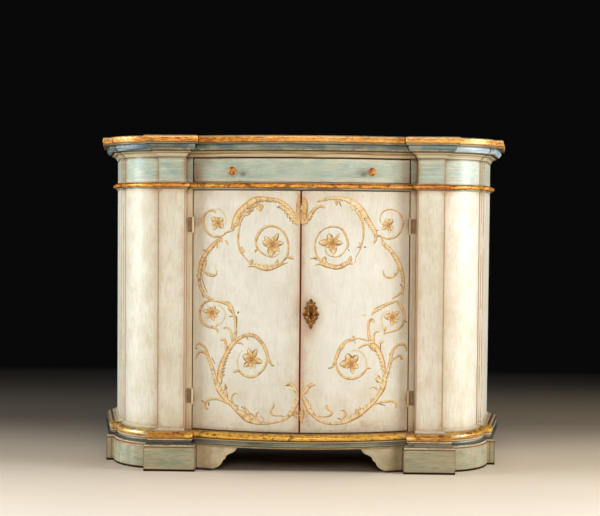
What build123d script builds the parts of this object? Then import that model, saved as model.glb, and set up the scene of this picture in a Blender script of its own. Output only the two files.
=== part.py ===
from build123d import *
import math
import os

# Bow-fronted painted credenza: one wide drawer over a pair of bowed doors,
# flat pilasters, convex corners and gently splayed sides on a bracket plinth.
# Millimetres, +Z up, the front faces -Y. The model is laid out with the
# pilaster faces on Y = 0 and is shifted at the end so that the origin is the
# centre of the footprint at floor level.

# ---------------------------------------------------------------- dimensions
HEIGHT = 1040.0          # top, above the datum of the layout
DROP = 5.0               # the feet reach this far below the datum
PIL_IN = 362.0           # pilaster, inner edge from the centre line
PIL_OUT = 447.0          # pilaster, outer edge
POST_IN = 342.0          # clear half width between the front posts
BOW = 65.0               # rise of the bowed front
BOW_HALF = 345.0         # half chord over which BOW is measured
RECESS = 38.0            # bowed front at BOW_HALF, behind the pilaster faces
RQ = 125.0               # radius of the convex corners
STEP_X = 590.0           # front edge of the splayed side
BACK_X = 641.0           # back edge of the splayed side
YBK = 405.0              # back of the carcass
DOOR_T = 22.0            # door thickness
DOOR_EDGE = 340.0        # door edge on the hinge side
MEET_GAP = 1.0           # half the gap between the doors
DOOR_Z0, DOOR_Z1 = 119.0, 871.0
DRAWER_Z0, DRAWER_Z1 = 898.0, 971.0
TOP_P = 42.0             # overhang of the top
FOOT_P = 38.0            # projection of the plinth
HINGE_X, HINGE_Y = 341.0, 32.0
HINGE_Z = (221.0, 763.0)  # centres of the lower and upper hinges
HINGE_H = 46.0
PIN_R = 1.75
BORE_R = 1.80
KNOB_L, KNOB_R, KNOB_Z = -211.0, 215.5, 931.0
LOCK_X, LOCK_Z = 33.5, 487.0

RB = (BOW_HALF ** 2 + BOW ** 2) / (2 * BOW)      # bow radius
YC = RECESS - BOW + RB                            # bow centre
XQ, YQ = PIL_OUT, RECESS + RQ                     # corner centre
YS = YQ                                           # front face of the side
_DX, _DY = BACK_X - STEP_X, YBK - YS
_L = math.hypot(_DX, _DY)
UX, UY = _DX / _L, _DY / _L                       # along the splayed side


def yb(x, p=0.0):
    """Y of the bowed front, offset outward by p, at x."""
    return YC - math.sqrt((RB + p) ** 2 - x * x)


def line(a, b, z):
    return Edge.make_line((a[0], a[1], z), (b[0], b[1], z))


def arc(a, m, b, z):
    return Edge.make_three_point_arc((a[0], a[1], z), (m[0], m[1], z), (b[0], b[1], z))


def bow_edge(x1, x2, p, z):
    xm = (x1 + x2) / 2
    return arc((x1, yb(x1, p)), (xm, yb(xm, p)), (x2, yb(x2, p)), z)


def corner_pts(p, kind="body"):
    """Plan points of one side at offset p: block, corner, step, splay. The
    mouldings, the top and the plinth run a little wide of the splayed side."""
    if kind == "top":
        ry, rx = RQ + p, RQ + p + 13.0
        d = (PIL_OUT + p, YQ - ry * math.sqrt(1 - (p / rx) ** 2))
        e = (XQ + rx * math.sqrt(1 - ((p + 8.0) / ry) ** 2), YS - p - 8.0)
        am = (math.asin(p / rx) + math.acos((p + 8.0) / ry)) / 2
        m = (XQ + rx * math.sin(am), YQ - ry * math.cos(am))
        return d, m, e, (599.0 + p, YS - p - 8.0), (649.0 + p, YBK)
    r = RQ + p
    d = (PIL_OUT + p, YQ - math.sqrt(max(r * r - p * p, 0)))
    e = (XQ + math.sqrt(r * r - p * p), YS - p)
    a0, a1 = math.atan2(d[1] - YQ, d[0] - XQ), math.atan2(e[1] - YQ, e[0] - XQ)
    am = (a0 + a1) / 2
    m = (XQ + r * math.cos(am), YQ + r * math.sin(am))
    t = (-p + UX * p) / UY
    f = (STEP_X + UY * p + UX * t, YS - p)
    t = (YBK - YS + UX * p) / UY
    g = (STEP_X + UY * p + UX * t, YBK)
    if kind == "plinth":
        return d, m, e, (592.0 + p, YS - p), (610.0 + p, YBK)
    wide = {"body": 0.0, "crown": 0.12, "base": 0.22}[kind] * p
    return d, m, e, (f[0] + wide, f[1]), (g[0] + wide, g[1])


def side_wire(p, z, kind="crown", cut_in=False):
    """Closed plan strip between the body surface and its offset p."""
    d, m, e, f, g = corner_pts(p, kind)
    d0, m0, e0, f0, g0 = corner_pts(0.0)
    a0, b0, c0 = (PIL_IN, yb(PIL_IN)), (PIL_IN, 0.0), (PIL_OUT, 0.0)
    if cut_in:
        edges = [line(b0, (PIL_IN, -p), z)]
        b = (PIL_IN, -p)
        close = [line(c0, b0, z)]
    else:
        a, b = (PIL_IN - p, yb(PIL_IN - p, p)), (PIL_IN - p, -p)
        edges = [line(a0, a, z), line(a, b, z)]
        close = [line(c0, b0, z), line(b0, a0, z)]
    c = (PIL_OUT + p, -p)
    edges += [line(b, c, z), line(c, d, z), arc(d, m, e, z), line(e, f, z),
              line(f, g, z), line(g, g0, z), line(g0, f0, z), line(f0, e0, z),
              arc(e0, m0, d0, z), line(d0, c0, z)] + close
    return Wire(edges)


def centre_wire(p, z):
    x = PIL_IN - p
    return Wire([bow_edge(-x, x, p, z), line((x, yb(x, p)), (PIL_IN, yb(PIL_IN)), z),
                 bow_edge(PIL_IN, -PIL_IN, 0.0, z),
                 line((-PIL_IN, yb(PIL_IN)), (-x, yb(x, p)), z)])


def stack(wire_fn, profile):
    """Moulding: ruled layers between successive (projection, height) pairs."""
    out = None
    for (p0, z0), (p1, z1) in zip(profile, profile[1:]):
        if z1 - z0 < 1e-6:
            continue
        s = Solid.make_loft([wire_fn(p0, z0), wire_fn(p1, z1)], ruled=True)
        out = s if out is None else out + s
    return out


def prism(pts, z0, z1):
    """Straight-sided prism; an item with three points is an arc."""
    edges = []
    for seg in pts:
        if len(seg) == 3:
            edges.append(arc(seg[0], seg[1], seg[2], z0))
        else:
            edges.append(line(seg[0], seg[1], z0))
    return extrude(Face(Wire(edges)), amount=z1 - z0, dir=(0, 0, 1))


def poly(pts, z0, z1):
    return prism(list(zip(pts, pts[1:] + pts[:1])), z0, z1)


def box(x0, x1, y0, y1, z0, z1):
    return Pos((x0 + x1) / 2, (y0 + y1) / 2, (z0 + z1) / 2) * Box(x1 - x0, y1 - y0, z1 - z0)


def bow_slab(x0, x1, p_out, p_in, z0, z1):
    """Curved board between two offsets of the bow, square ends at x0 and x1."""
    xm = (x0 + x1) / 2
    return prism([((x0, yb(x0, p_out)), (xm, yb(xm, p_out)), (x1, yb(x1, p_out))),
                  ((x1, yb(x1, p_out)), (x1, yb(x1, p_in))),
                  ((x1, yb(x1, p_in)), (xm, yb(xm, p_in)), (x0, yb(x0, p_in))),
                  ((x0, yb(x0, p_in)), (x0, yb(x0, p_out)))], z0, z1)


def bow_drum(p, z0, z1):
    """Everything behind the bowed surface offset by p."""
    return Pos(0, YC, (z0 + z1) / 2) * Cylinder(RB + p, z1 - z0)


def both(shape):
    return shape, mirror(shape, about=Plane.YZ)


def full_plan(p, z, kind="body"):
    """Whole outline of the cabinet at offset p, straight at the back."""
    d, m, e, f, g = corner_pts(p, kind)
    x = PIL_IN - p
    a, b, c = (x, yb(x, p)), (x, -p), (PIL_OUT + p, -p)

    def n(q):
        return (-q[0], q[1])
    return Wire([bow_edge(-x, x, p, z), line(a, b, z), line(b, c, z), line(c, d, z),
                 arc(d, m, e, z), line(e, f, z), line(f, g, z), line(g, n(g), z),
                 line(n(g), n(f), z), line(n(f), n(e), z), arc(n(e), n(m), n(d), z),
                 line(n(d), n(c), z), line(n(c), n(b), z), line(n(b), n(a), z)])


nodes = {}

# ------------------------------------------------------------------- the top
TOP_PROFILE = [(39, 1014), (40, 1015.5), (40, 1018.5), (39, 1020), (TOP_P - 0.6, 1022), (TOP_P, 1027),
               (TOP_P, 1034), (TOP_P - 0.8, 1037.5), (TOP_P - 3.0, HEIGHT)]
top = None
for (p0, z0), (p1, z1) in zip(TOP_PROFILE, TOP_PROFILE[1:]):
    s = Solid.make_loft([full_plan(p0, z0, "top"), full_plan(p1, z1, "top")], ruled=True)
    top = s if top is None else top + s
nodes["top_board"] = top
nodes["carcass_top"] = extrude(Face(full_plan(0.0, 1003)), amount=11, dir=(0, 0, 1))

CORNICE = [(2, 974), (3, 978), (6, 983), (11, 987.5), (17.5, 991), (19, 993.5), (25, 995.5),
           (29.5, 999.5), (31, 1003.5), (32, 1004.5), (33, 1007), (33, 1011), (32, 1013.2),
           (31.5, 1014)]
nodes["cornice_centre"] = stack(centre_wire, CORNICE)
nodes["cornice_right"], nodes["cornice_left"] = both(stack(side_wire, CORNICE))

# ------------------------------------------------------------ the waist line
WAIST = [(4, 875), (4, 879), (7, 879.6), (11.5, 882), (14, 885), (14.5, 888), (13, 891.5),
         (9.5, 894.2), (6, 895)]
nodes["waist_moulding_centre"] = stack(centre_wire, WAIST)
nodes["waist_moulding_right"], nodes["waist_moulding_left"] = both(stack(side_wire, WAIST))

# --------------------------------------------------------- the base moulding
BASE = [(30.5, 78), (33, 79.5), (33, 82), (31, 83.5), (24, 84), (22.5, 87.5), (25, 91),
        (27, 91.2), (27, 95), (23, 95.4), (27, 98.5), (28.5, 103), (27.5, 108), (23, 112.8),
        (17.5, 115.4), (15, 116)]
LIP = [(35.5, 73.5), (35.5, 76.5), (34, 78)]
COVE = [(15, 116), (13, 117.3), (8.5, 117.8), (8.5, 120.2), (5, 121), (2.6, 122.6), (1, 125)]
nodes["base_moulding_centre"] = stack(centre_wire, LIP + BASE[1:])
base_side = stack(lambda p, z: side_wire(p, z, "base"), BASE) + stack(
    lambda p, z: side_wire(p, z, "base", True), COVE)
nodes["base_moulding_right"], nodes["base_moulding_left"] = both(base_side)

# ------------------------------------------------------------ carcass frame
post = prism([((POST_IN, yb(POST_IN)), ((POST_IN + PIL_IN) / 2, yb((POST_IN + PIL_IN) / 2)),
               (PIL_IN, yb(PIL_IN))),
              ((PIL_IN, yb(PIL_IN)), (PIL_OUT, yb(PIL_IN))),
              ((PIL_OUT, yb(PIL_IN)), (PIL_OUT, 80.0)),
              ((PIL_OUT, 80.0), (POST_IN, 80.0)),
              ((POST_IN, 80.0), (POST_IN, yb(POST_IN)))], 78, 1003)
pilaster = box(PIL_IN, PIL_OUT, 0.0, yb(PIL_IN), 78, 1003)
q = RQ - 18.0


def qpt(r, deg):
    return (XQ + r * math.sin(math.radians(deg)), YQ - r * math.cos(math.radians(deg)))


corner = prism([(qpt(RQ, 0), qpt(RQ, 45), qpt(RQ, 90)), (qpt(RQ, 90), qpt(q, 90)),
                (qpt(q, 90), qpt(q, 45), qpt(q, 0)), (qpt(q, 0), qpt(RQ, 0))], 78, 1003)


def splay_x(y, inset=0.0):
    return STEP_X + (y - YS) * _DX / _DY - inset


stile = poly([(XQ + q, YS), (STEP_X, YS), (splay_x(YS + 20), YS + 20), (XQ + q, YS + 20)],
             78, 1003)
side = poly([(splay_x(YS + 20), YS + 20), (BACK_X, YBK), (BACK_X - 18, YBK),
             (splay_x(YS + 20, 18), YS + 20)], 78, 1003)

nodes["bottom_rail"] = bow_slab(-POST_IN, POST_IN, 0, -40, 78, 116)
mid_rail = bow_slab(-POST_IN, POST_IN, 0, -40, 873, 895)
mid_rail -= Pos(-20, 2.0, 873 + 8) * Cylinder(4.2, 16.2)
nodes["mid_rail"] = mid_rail
nodes["top_rail"] = bow_slab(-POST_IN, POST_IN, 0, -34, 974, 1003)

# back of the carcass, seven upright boards
YIN = YBK - 12.0
BACK_HW = splay_x(YIN, 18.0) - 0.6
back, w = [], 2 * BACK_HW / 7
for i in range(7):
    x0 = -BACK_HW + i * w
    back.append(box(x0 + 0.4, x0 + w - 0.4, YIN, YBK, 95, 1003))
nodes["back_boards"] = Compound(children=back)


def inner_board(p_front, z0, z1, y_back=YIN, x_side=551.0):
    """Horizontal board inside the carcass: full width behind the posts, with
    a tongue between them that follows the bow."""
    xt = POST_IN - 2.0
    r = RQ - 21.0
    yf = 84.0
    xa = XQ + math.sqrt(r * r - (YQ - yf) ** 2)
    am = (math.atan2(yf - YQ, xa - XQ) + 0.0) / 2
    ym, xb = YS + 21.0, splay_x(y_back, 20.0)
    pts = [((-xt, yb(xt, p_front)), (0, yb(0, p_front)), (xt, yb(xt, p_front))),
           ((xt, yb(xt, p_front)), (xt, yf)), ((xt, yf), (xa, yf)),
           ((xa, yf), (XQ + r * math.cos(am), YQ + r * math.sin(am)), (x_side, YQ)),
           ((x_side, YQ), (x_side + 1.5, ym)), ((x_side + 1.5, ym), (xb, y_back)),
           ((xb, y_back), (-xb, y_back)), ((-xb, y_back), (-x_side - 1.5, ym)),
           ((-x_side - 1.5, ym), (-x_side, YQ)),
           ((-x_side, YQ), (-XQ - r * math.cos(am), YQ + r * math.sin(am)), (-xa, yf)),
           ((-xa, yf), (-xt, yf)), ((-xt, yf), (-xt, yb(xt, p_front)))]
    return prism(pts, z0, z1)


nodes["bottom_board"] = inner_board(-40, 95, 113)
nodes["dust_board"] = inner_board(-40, 873, 885)
nodes["shelf"] = inner_board(-52, 480, 496)
sup = [box(-580, 580, YIN - 12, YIN, 468, 480)]
for sgn in (1, -1):
    a, b = sorted((sgn * 352.0, sgn * 440.0))
    sup.append(box(a, b, 80, 96, 468, 480))
    a, b = sorted((sgn * 536.0, sgn * 554.0))
    sup.append(box(a, b, 163, 182.5, 468, 480))
nodes["shelf_supports"] = Compound(children=sup)

runner = box(314, 334, 88, YIN - 6, 885, 899.5) + box(334, 348, 88, YIN - 6, 885, 925)
nodes["drawer_runners"] = Compound(children=list(both(runner)))
kick = box(314, 336, 84, YIN - 6, 962, 1003)
nodes["drawer_kickers"] = Compound(children=list(both(kick)))

# ---------------------------------------------------------------- the plinth
# levelling frame on which the carcass stands
frame_out = extrude(Face(full_plan(0.0, 70)), amount=8, dir=(0, 0, 1))
lip, lip_l = both(stack(lambda p, z: side_wire(p, z, "plinth"),
                        [(33.5, 70), (35.5, 71.5), (35.5, 76.5), (34, 78)]))
frame_in = box(-520, 520, 90, YIN - 6, 69, 79)
tongue_cut = bow_slab(-330, 330, 30, -22, 69, 79)
nodes["base_frame"] = (frame_out - frame_in - tongue_cut) + lip + lip_l

XF = PIL_IN - FOOT_P
block = box(XF, PIL_OUT + FOOT_P, -FOOT_P, 44.0, -DROP, 70)
block = chamfer(block.edges().group_by(Axis.Z)[0], 1.5)
r_o, r_i = RQ + FOOT_P, RQ + FOOT_P - 22
xo = PIL_OUT + FOOT_P
d_o = (xo, YQ - math.sqrt(r_o ** 2 - FOOT_P ** 2))
d_i = (xo, YQ - math.sqrt(r_i ** 2 - FOOT_P ** 2))
ys = YS - FOOT_P
e_o = (XQ + math.sqrt(r_o ** 2 - FOOT_P ** 2), ys)
e_i = (XQ + math.sqrt(r_i ** 2 - FOOT_P ** 2), ys)


def amid(a, b, r):
    t = (math.atan2(a[1] - YQ, a[0] - XQ) + math.atan2(b[1] - YQ, b[0] - XQ)) / 2
    return (XQ + r * math.cos(t), YQ + r * math.sin(t))


plinth_corner = prism([(d_o, amid(d_o, e_o, r_o), e_o), (e_o, e_i),
                       (e_i, amid(e_i, d_i, r_i), d_i), (d_i, d_o)], -DROP, 70)
_, _, _, f38, g38 = corner_pts(FOOT_P, "plinth")
plinth_side = poly([e_i, f38, g38, (g38[0] - 22, YBK), (f38[0] - 22 + 1.5, ys + 22),
                    (e_i[0], ys + 22)], -DROP, 70)

BRACKET = [(XF, 0), (272.5, 0), (271.5, 3.5), (263, 7), (252.5, 12.5), (245, 18.5), (240.5, 25),
           (237, 32), (230, 36.5), (228, 43), (222, 49.5), (210, 55), (201.5, 59.5),
           (197, 64), (193, 70), (191.5, 73.5), (XF, 73.5)]
BRACKET = [(x, z - DROP * (1 - z / 73.5)) for x, z in BRACKET]
wire = Wire([Edge.make_line((a[0], -120, a[1]), (b[0], -120, b[1]))
             for a, b in zip(BRACKET, BRACKET[1:] + BRACKET[:1])])
bracket = extrude(Face(wire), amount=260, dir=(0, 1, 0))
bracket = bracket & (bow_drum(29, -9, 79) - bow_drum(9, -10, 80))
rear_foot = box(540, 620, YIN - 32, YIN - 6, -DROP, 70)
glue = [box(350, 430, 44, 84, 24, 70), box(486, 512, 46, 92, 24, 70) & (
    Pos(XQ, YQ, 40) * Cylinder(r_i - 0.5, 90))]

for name, shape in (("front_post", post), ("pilaster", pilaster), ("corner_panel", corner),
                    ("side_panel", stile + side), ("plinth_block", block),
                    ("plinth_corner", plinth_corner), ("plinth_side", plinth_side),
                    ("bracket", bracket)):
    nodes[name + "_right"], nodes[name + "_left"] = both(shape)
nodes["foot_blocks"] = Compound(children=[s for g in glue + [rear_foot] for s in both(g)])

# --------------------------------------------------------------------- hinges
# 5 knuckles: three on the frame leaf, two on the door leaf
K = HINGE_H / 5
frame_leaves, door_leaves, pins, screws = [], [], [], []
SCREW_X = 353.0
ang = math.degrees(math.asin(SCREW_X / RB))
for zc in HINGE_Z:
    z0 = zc - HINGE_H / 2
    leaf = bow_slab(344.0, 359.0, 1.6, 0, z0, z0 + HINGE_H)
    web = poly([(HINGE_X, HINGE_Y + 1.0), (345.5, HINGE_Y + 3.0), (346.5, yb(346.5)),
                (343.0, yb(343.0)), (341.5, HINGE_Y + 3.4)], z0, z0 + HINGE_H)
    knuckles = Pos(HINGE_X, HINGE_Y, zc) * Cylinder(3.5, HINGE_H)
    dweb = box(DOOR_EDGE, DOOR_EDGE + 0.9, HINGE_Y + 0.5, 36.5, z0, z0 + HINGE_H)
    dleaf = box(DOOR_EDGE, DOOR_EDGE + 0.9, 36.0, 55.0, z0, z0 + HINGE_H)
    fcut = None
    fl = leaf + web
    dl = dleaf
    for k in range(5):
        a, b = z0 + k * K, z0 + (k + 1) * K
        cyl = Pos(HINGE_X, HINGE_Y, (a + b) / 2) * Cylinder(3.5, K - 0.4)
        if k % 2 == 0:
            fl = fl + cyl
        else:
            gap = Pos(HINGE_X, HINGE_Y, (a + b) / 2) * Cylinder(4.2, K)
            fl = fl - gap
            dl = dl + cyl + (dweb & box(330, 350, 20, 60, a + 0.2, b - 0.2))
    bore = Pos(HINGE_X, HINGE_Y, zc) * Cylinder(BORE_R, HINGE_H + 2)
    fl = (fl - bore) - bow_drum(0, z0 - 1, z0 + HINGE_H + 1)
    dl = dl - bore
    for dz in (-15.0, 0.0, 15.0):
        loc = Pos(SCREW_X, yb(SCREW_X), zc + dz) * Rot(0, 0, ang) * Rot(90, 0, 0)
        hole = loc * Pos(0, 0, 0.8) * Cylinder(2.5, 4)
        fl = fl - hole
        head = loc * Pos(0, 0, 0.75) * Cylinder(2.4, 1.3)
        screws.append(head)
    frame_leaves.append(fl)
    door_leaves.append(dl)
    pin = Pos(HINGE_X, HINGE_Y, zc) * Cylinder(PIN_R, HINGE_H)
    tip = Pos(HINGE_X, HINGE_Y, zc + HINGE_H / 2 + 1.0) * Cylinder(2.8, 2.0)
    tip += Pos(HINGE_X, HINGE_Y, zc - HINGE_H / 2 - 1.0) * Cylinder(2.8, 2.0)
    pins.append(pin + tip)


def pair(shapes):
    return Compound(children=[s for g in shapes for s in both(g)])


nodes["hinge_frame_leaves"] = pair(frame_leaves)
nodes["hinge_pins"] = pair(pins)
nodes["hinge_screws"] = pair(screws)
nodes["right_hinge_leaves"] = Compound(children=[d for d in door_leaves])
nodes["left_hinge_leaves"] = Compound(children=[mirror(d, about=Plane.YZ) for d in door_leaves])

# ---------------------------------------------------------------------- doors
door = bow_slab(MEET_GAP, DOOR_EDGE, 0, -DOOR_T, DOOR_Z0, DOOR_Z1)
left_door = mirror(door, about=Plane.YZ)
key = (Pos(LOCK_X, -15, LOCK_Z + 4) * Rot(90, 0, 0) * Cylinder(3.4, 60)
       + box(LOCK_X - 1.7, LOCK_X + 1.7, -45, 15, LOCK_Z - 8, LOCK_Z + 4))
nodes["right_door_panel"] = door - key
nodes["left_door_panel"] = left_door

# box lock on the inside of the right door, bolt runs toward the meeting edge
drum_in = bow_drum(-DOOR_T, 400, 600)
case = box(3.0, 58.0, -12, 11, LOCK_Z - 30, LOCK_Z + 30) & drum_in
channel = box(-2, 40, 0.0, 8.0, LOCK_Z - 9, LOCK_Z + 9)
nodes["lock_case"] = case - channel - key
nodes["lock_bolt"] = box(3.2, 24, 0.3, 7.7, LOCK_Z - 8.6, LOCK_Z + 8.6)
keep = box(-24.0, -3.0, -12, 11, LOCK_Z - 16, LOCK_Z + 16) & drum_in
keep -= box(-14, 0, -0.6, 8.6, LOCK_Z - 9.6, LOCK_Z + 9.6)
nodes["lock_keep"] = keep

# tower bolt on the inside of the left door, runs up into the rail above
staples = None
for z0, z1 in ((800, 808), (842, 850)):
    s = (box(-28, -12, -12, 8, z0, z1) & bow_drum(-DOOR_T, 780, 860)) - (
        Pos(-20, 2, 825) * Cylinder(3.6, 80))
    staples = [s] if staples is None else staples + [s]
nodes["bolt_staples"] = Compound(children=staples)
rod = Pos(-20, 2, (794 + 868) / 2) * Cylinder(3.5, 868 - 794)
rod += Pos(-20, 9.0, 819) * Rot(90, 0, 0) * Cylinder(2.5, 9)
rod += Pos(-20, 14.5, 819) * Sphere(4.5)
nodes["left_door_bolt"] = rod

# pierced escutcheon over the keyhole, follows the bow
ESC = [(0, 48), (5, 41), (8, 36), (13, 37), (14, 31), (12, 26), (17, 24), (21, 18),
       (18, 12), (20, 7), (25, 3), (26, -3), (21, -6), (22, -12), (19, -18), (14, -20),
       (14, -27), (10, -31), (6, -32), (6, -39), (0, -48)]
outline = ESC + [(-x, z) for x, z in reversed(ESC[1:-1])]
wire = Wire([Edge.make_line((LOCK_X + a[0], -60, LOCK_Z + 3 + a[1]),
                            (LOCK_X + b[0], -60, LOCK_Z + 3 + b[1]))
             for a, b in zip(outline, outline[1:] + outline[:1])])
esc = extrude(Face(wire), amount=60, dir=(0, 1, 0)) & (
    bow_drum(2.4, 400, 600) - bow_drum(0, 399, 601))
for x, z, r in ((-9, 20, 3.0), (9, 20, 3.0), (-11, -9, 3.2), (11, -9, 3.2), (0, 30, 2.4),
                (0, -29, 2.6)):
    esc -= Pos(LOCK_X + x, -30, LOCK_Z + 3 + z) * Rot(90, 0, 0) * Cylinder(r, 60)
nodes["escutcheon"] = esc - key
pinset = []
for x, z in ((0, 42.0), (0, -42.0)):
    px = LOCK_X + x
    a = math.degrees(math.asin(px / RB))
    pinset.append(Pos(px, yb(px, 2.4), LOCK_Z + 3 + z) * Rot(0, 0, a) * Rot(90, 0, 0)
                  * Pos(0, 0, 0.55) * Cylinder(1.6, 1.1))
nodes["escutcheon_pins"] = Compound(children=pinset)

# --------------------------------------------------------------------- drawer
nodes["drawer_front"] = bow_slab(-DOOR_EDGE, DOOR_EDGE, 0, -20, DRAWER_Z0, DRAWER_Z1)
drum_dr = bow_drum(-20, 880, 980)
dside = box(322, 332, 30, YIN - 18, 900, 960) & drum_dr
nodes["drawer_side_right"], nodes["drawer_side_left"] = both(dside)
nodes["drawer_back"] = box(-322, 322, YIN - 28, YIN - 18, 903, 955)
nodes["drawer_bottom"] = box(-322, 322, -20, YIN - 28, 903, 909) & drum_dr

kp = [(0, -6), (8.5, -6), (8.5, 1.2), (6.8, 2.6), (4.6, 4.2), (4.2, 7.5), (6.5, 10.5),
      (10.5, 12.5), (12.8, 15.8), (13.0, 18.5), (11.6, 21.6), (8.2, 24.0), (4.0, 25.2), (0, 25.6)]
prof = Face(Wire([Edge.make_line((a[0], 0, a[1]), (b[0], 0, b[1]))
                  for a, b in zip(kp, kp[1:] + kp[:1])]))
knob = revolve(prof, Axis.Z, 360)
for side, kx in (("right", KNOB_R), ("left", KNOB_L)):
    a = math.degrees(math.asin(kx / RB))
    nodes["drawer_knob_" + side] = (Pos(kx, yb(kx), KNOB_Z) * Rot(0, 0, a) * Rot(90, 0, 0)
                                    * knob) - bow_drum(0, 900, 960)

# --------------------------------------------------------------------- export
YMID = (yb(0, TOP_P) + YBK) / 2
os.makedirs("parts", exist_ok=True)
for old in os.listdir("parts"):
    if old.endswith(".step") and old[:-5] not in nodes:
        os.remove(os.path.join("parts", old))
for name, shape in nodes.items():
    export_step(Pos(0, -YMID, DROP) * shape, "parts/" + name + ".step")
print(len(nodes), "nodes; shift", round(YMID, 3))
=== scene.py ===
import bpy
import bmesh
import math
from mathutils import Vector, Matrix
from mathutils import noise as mn


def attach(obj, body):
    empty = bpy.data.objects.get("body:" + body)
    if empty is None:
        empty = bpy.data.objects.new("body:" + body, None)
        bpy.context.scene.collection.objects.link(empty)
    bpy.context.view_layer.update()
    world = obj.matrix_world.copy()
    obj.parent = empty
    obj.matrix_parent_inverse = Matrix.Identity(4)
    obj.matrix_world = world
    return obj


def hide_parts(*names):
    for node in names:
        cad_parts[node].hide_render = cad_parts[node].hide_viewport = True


# Looks of the bow-fronted painted credenza. All lengths below are written in
# millimetres in the layout of the carcass (pilaster faces on Y = 0) and are
# turned into the row frame by W().

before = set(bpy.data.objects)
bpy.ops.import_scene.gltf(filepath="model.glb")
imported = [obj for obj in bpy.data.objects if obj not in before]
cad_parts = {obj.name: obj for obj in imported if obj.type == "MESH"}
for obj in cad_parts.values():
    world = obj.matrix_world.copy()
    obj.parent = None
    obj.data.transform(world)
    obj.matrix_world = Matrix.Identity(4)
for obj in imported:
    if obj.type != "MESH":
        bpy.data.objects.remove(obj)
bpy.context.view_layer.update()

PIL_IN, PIL_OUT, POST_IN = 362.0, 447.0, 342.0
RECESS, RQ = 38.0, 125.0
STEP_X, BACK_X, YBK = 590.0, 641.0, 405.0
RB = (345.0 ** 2 + 65.0 ** 2) / 130.0
YC = RECESS - 65.0 + RB
YQ = RECESS + RQ
YMID = 168.0
DROP = 5.0
_L = math.hypot(BACK_X - STEP_X, YBK - YQ)
UX, UY = (BACK_X - STEP_X) / _L, (YBK - YQ) / _L


def yb(x, p=0.0):
    return YC - math.sqrt((RB + p) ** 2 - x * x)


def W(x, y, z):
    return (x / 1000.0, (y - YMID) / 1000.0, (z + DROP) / 1000.0)


def nz(x, y, z, s, seed=0.0):
    """Smooth noise in -1..1 at a point in millimetres, s features a metre."""
    k = s / 1000.0
    return mn.noise(Vector((x * k + seed, y * k - seed * 0.7, z * k + seed * 1.3)))


def rgb(r, g, b):
    def lin(c):
        c /= 255.0
        return c / 12.92 if c <= 0.04045 else ((c + 0.055) / 1.055) ** 2.4
    return (lin(r), lin(g), lin(b), 1.0)


# ------------------------------------------------------------------ node tools
class E:
    """A shader value that can be added, multiplied and so on."""

    def __init__(self, m, sock):
        self.m, self.s = m, sock

    def _op(self, op, o=None, flip=False, clamp=False):
        a, b = (o, self) if flip else (self, o)
        return self.m.math(op, a, b, clamp=clamp)

    def __add__(self, o): return self._op("ADD", o)
    def __radd__(self, o): return self._op("ADD", o)
    def __sub__(self, o): return self._op("SUBTRACT", o)
    def __rsub__(self, o): return self._op("SUBTRACT", o, True)
    def __mul__(self, o): return self._op("MULTIPLY", o)
    def __rmul__(self, o): return self._op("MULTIPLY", o)
    def __truediv__(self, o): return self._op("DIVIDE", o)
    def __pow__(self, o): return self._op("POWER", o)
    def abs(self): return self._op("ABSOLUTE")
    def max(self, o): return self._op("MAXIMUM", o)
    def min(self, o): return self._op("MINIMUM", o)
    def clamp(self): return self._op("MULTIPLY", 1.0, clamp=True)

    def step(self, a, b):
        """0 below a, 1 above b, smooth between them (b below a runs down)."""
        return self.m.step(self, a, b)

    def near(self, c, w):
        """1 at c, fading to 0 at a distance of w."""
        return (1.0 - (self - c).abs() / w).clamp()


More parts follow.
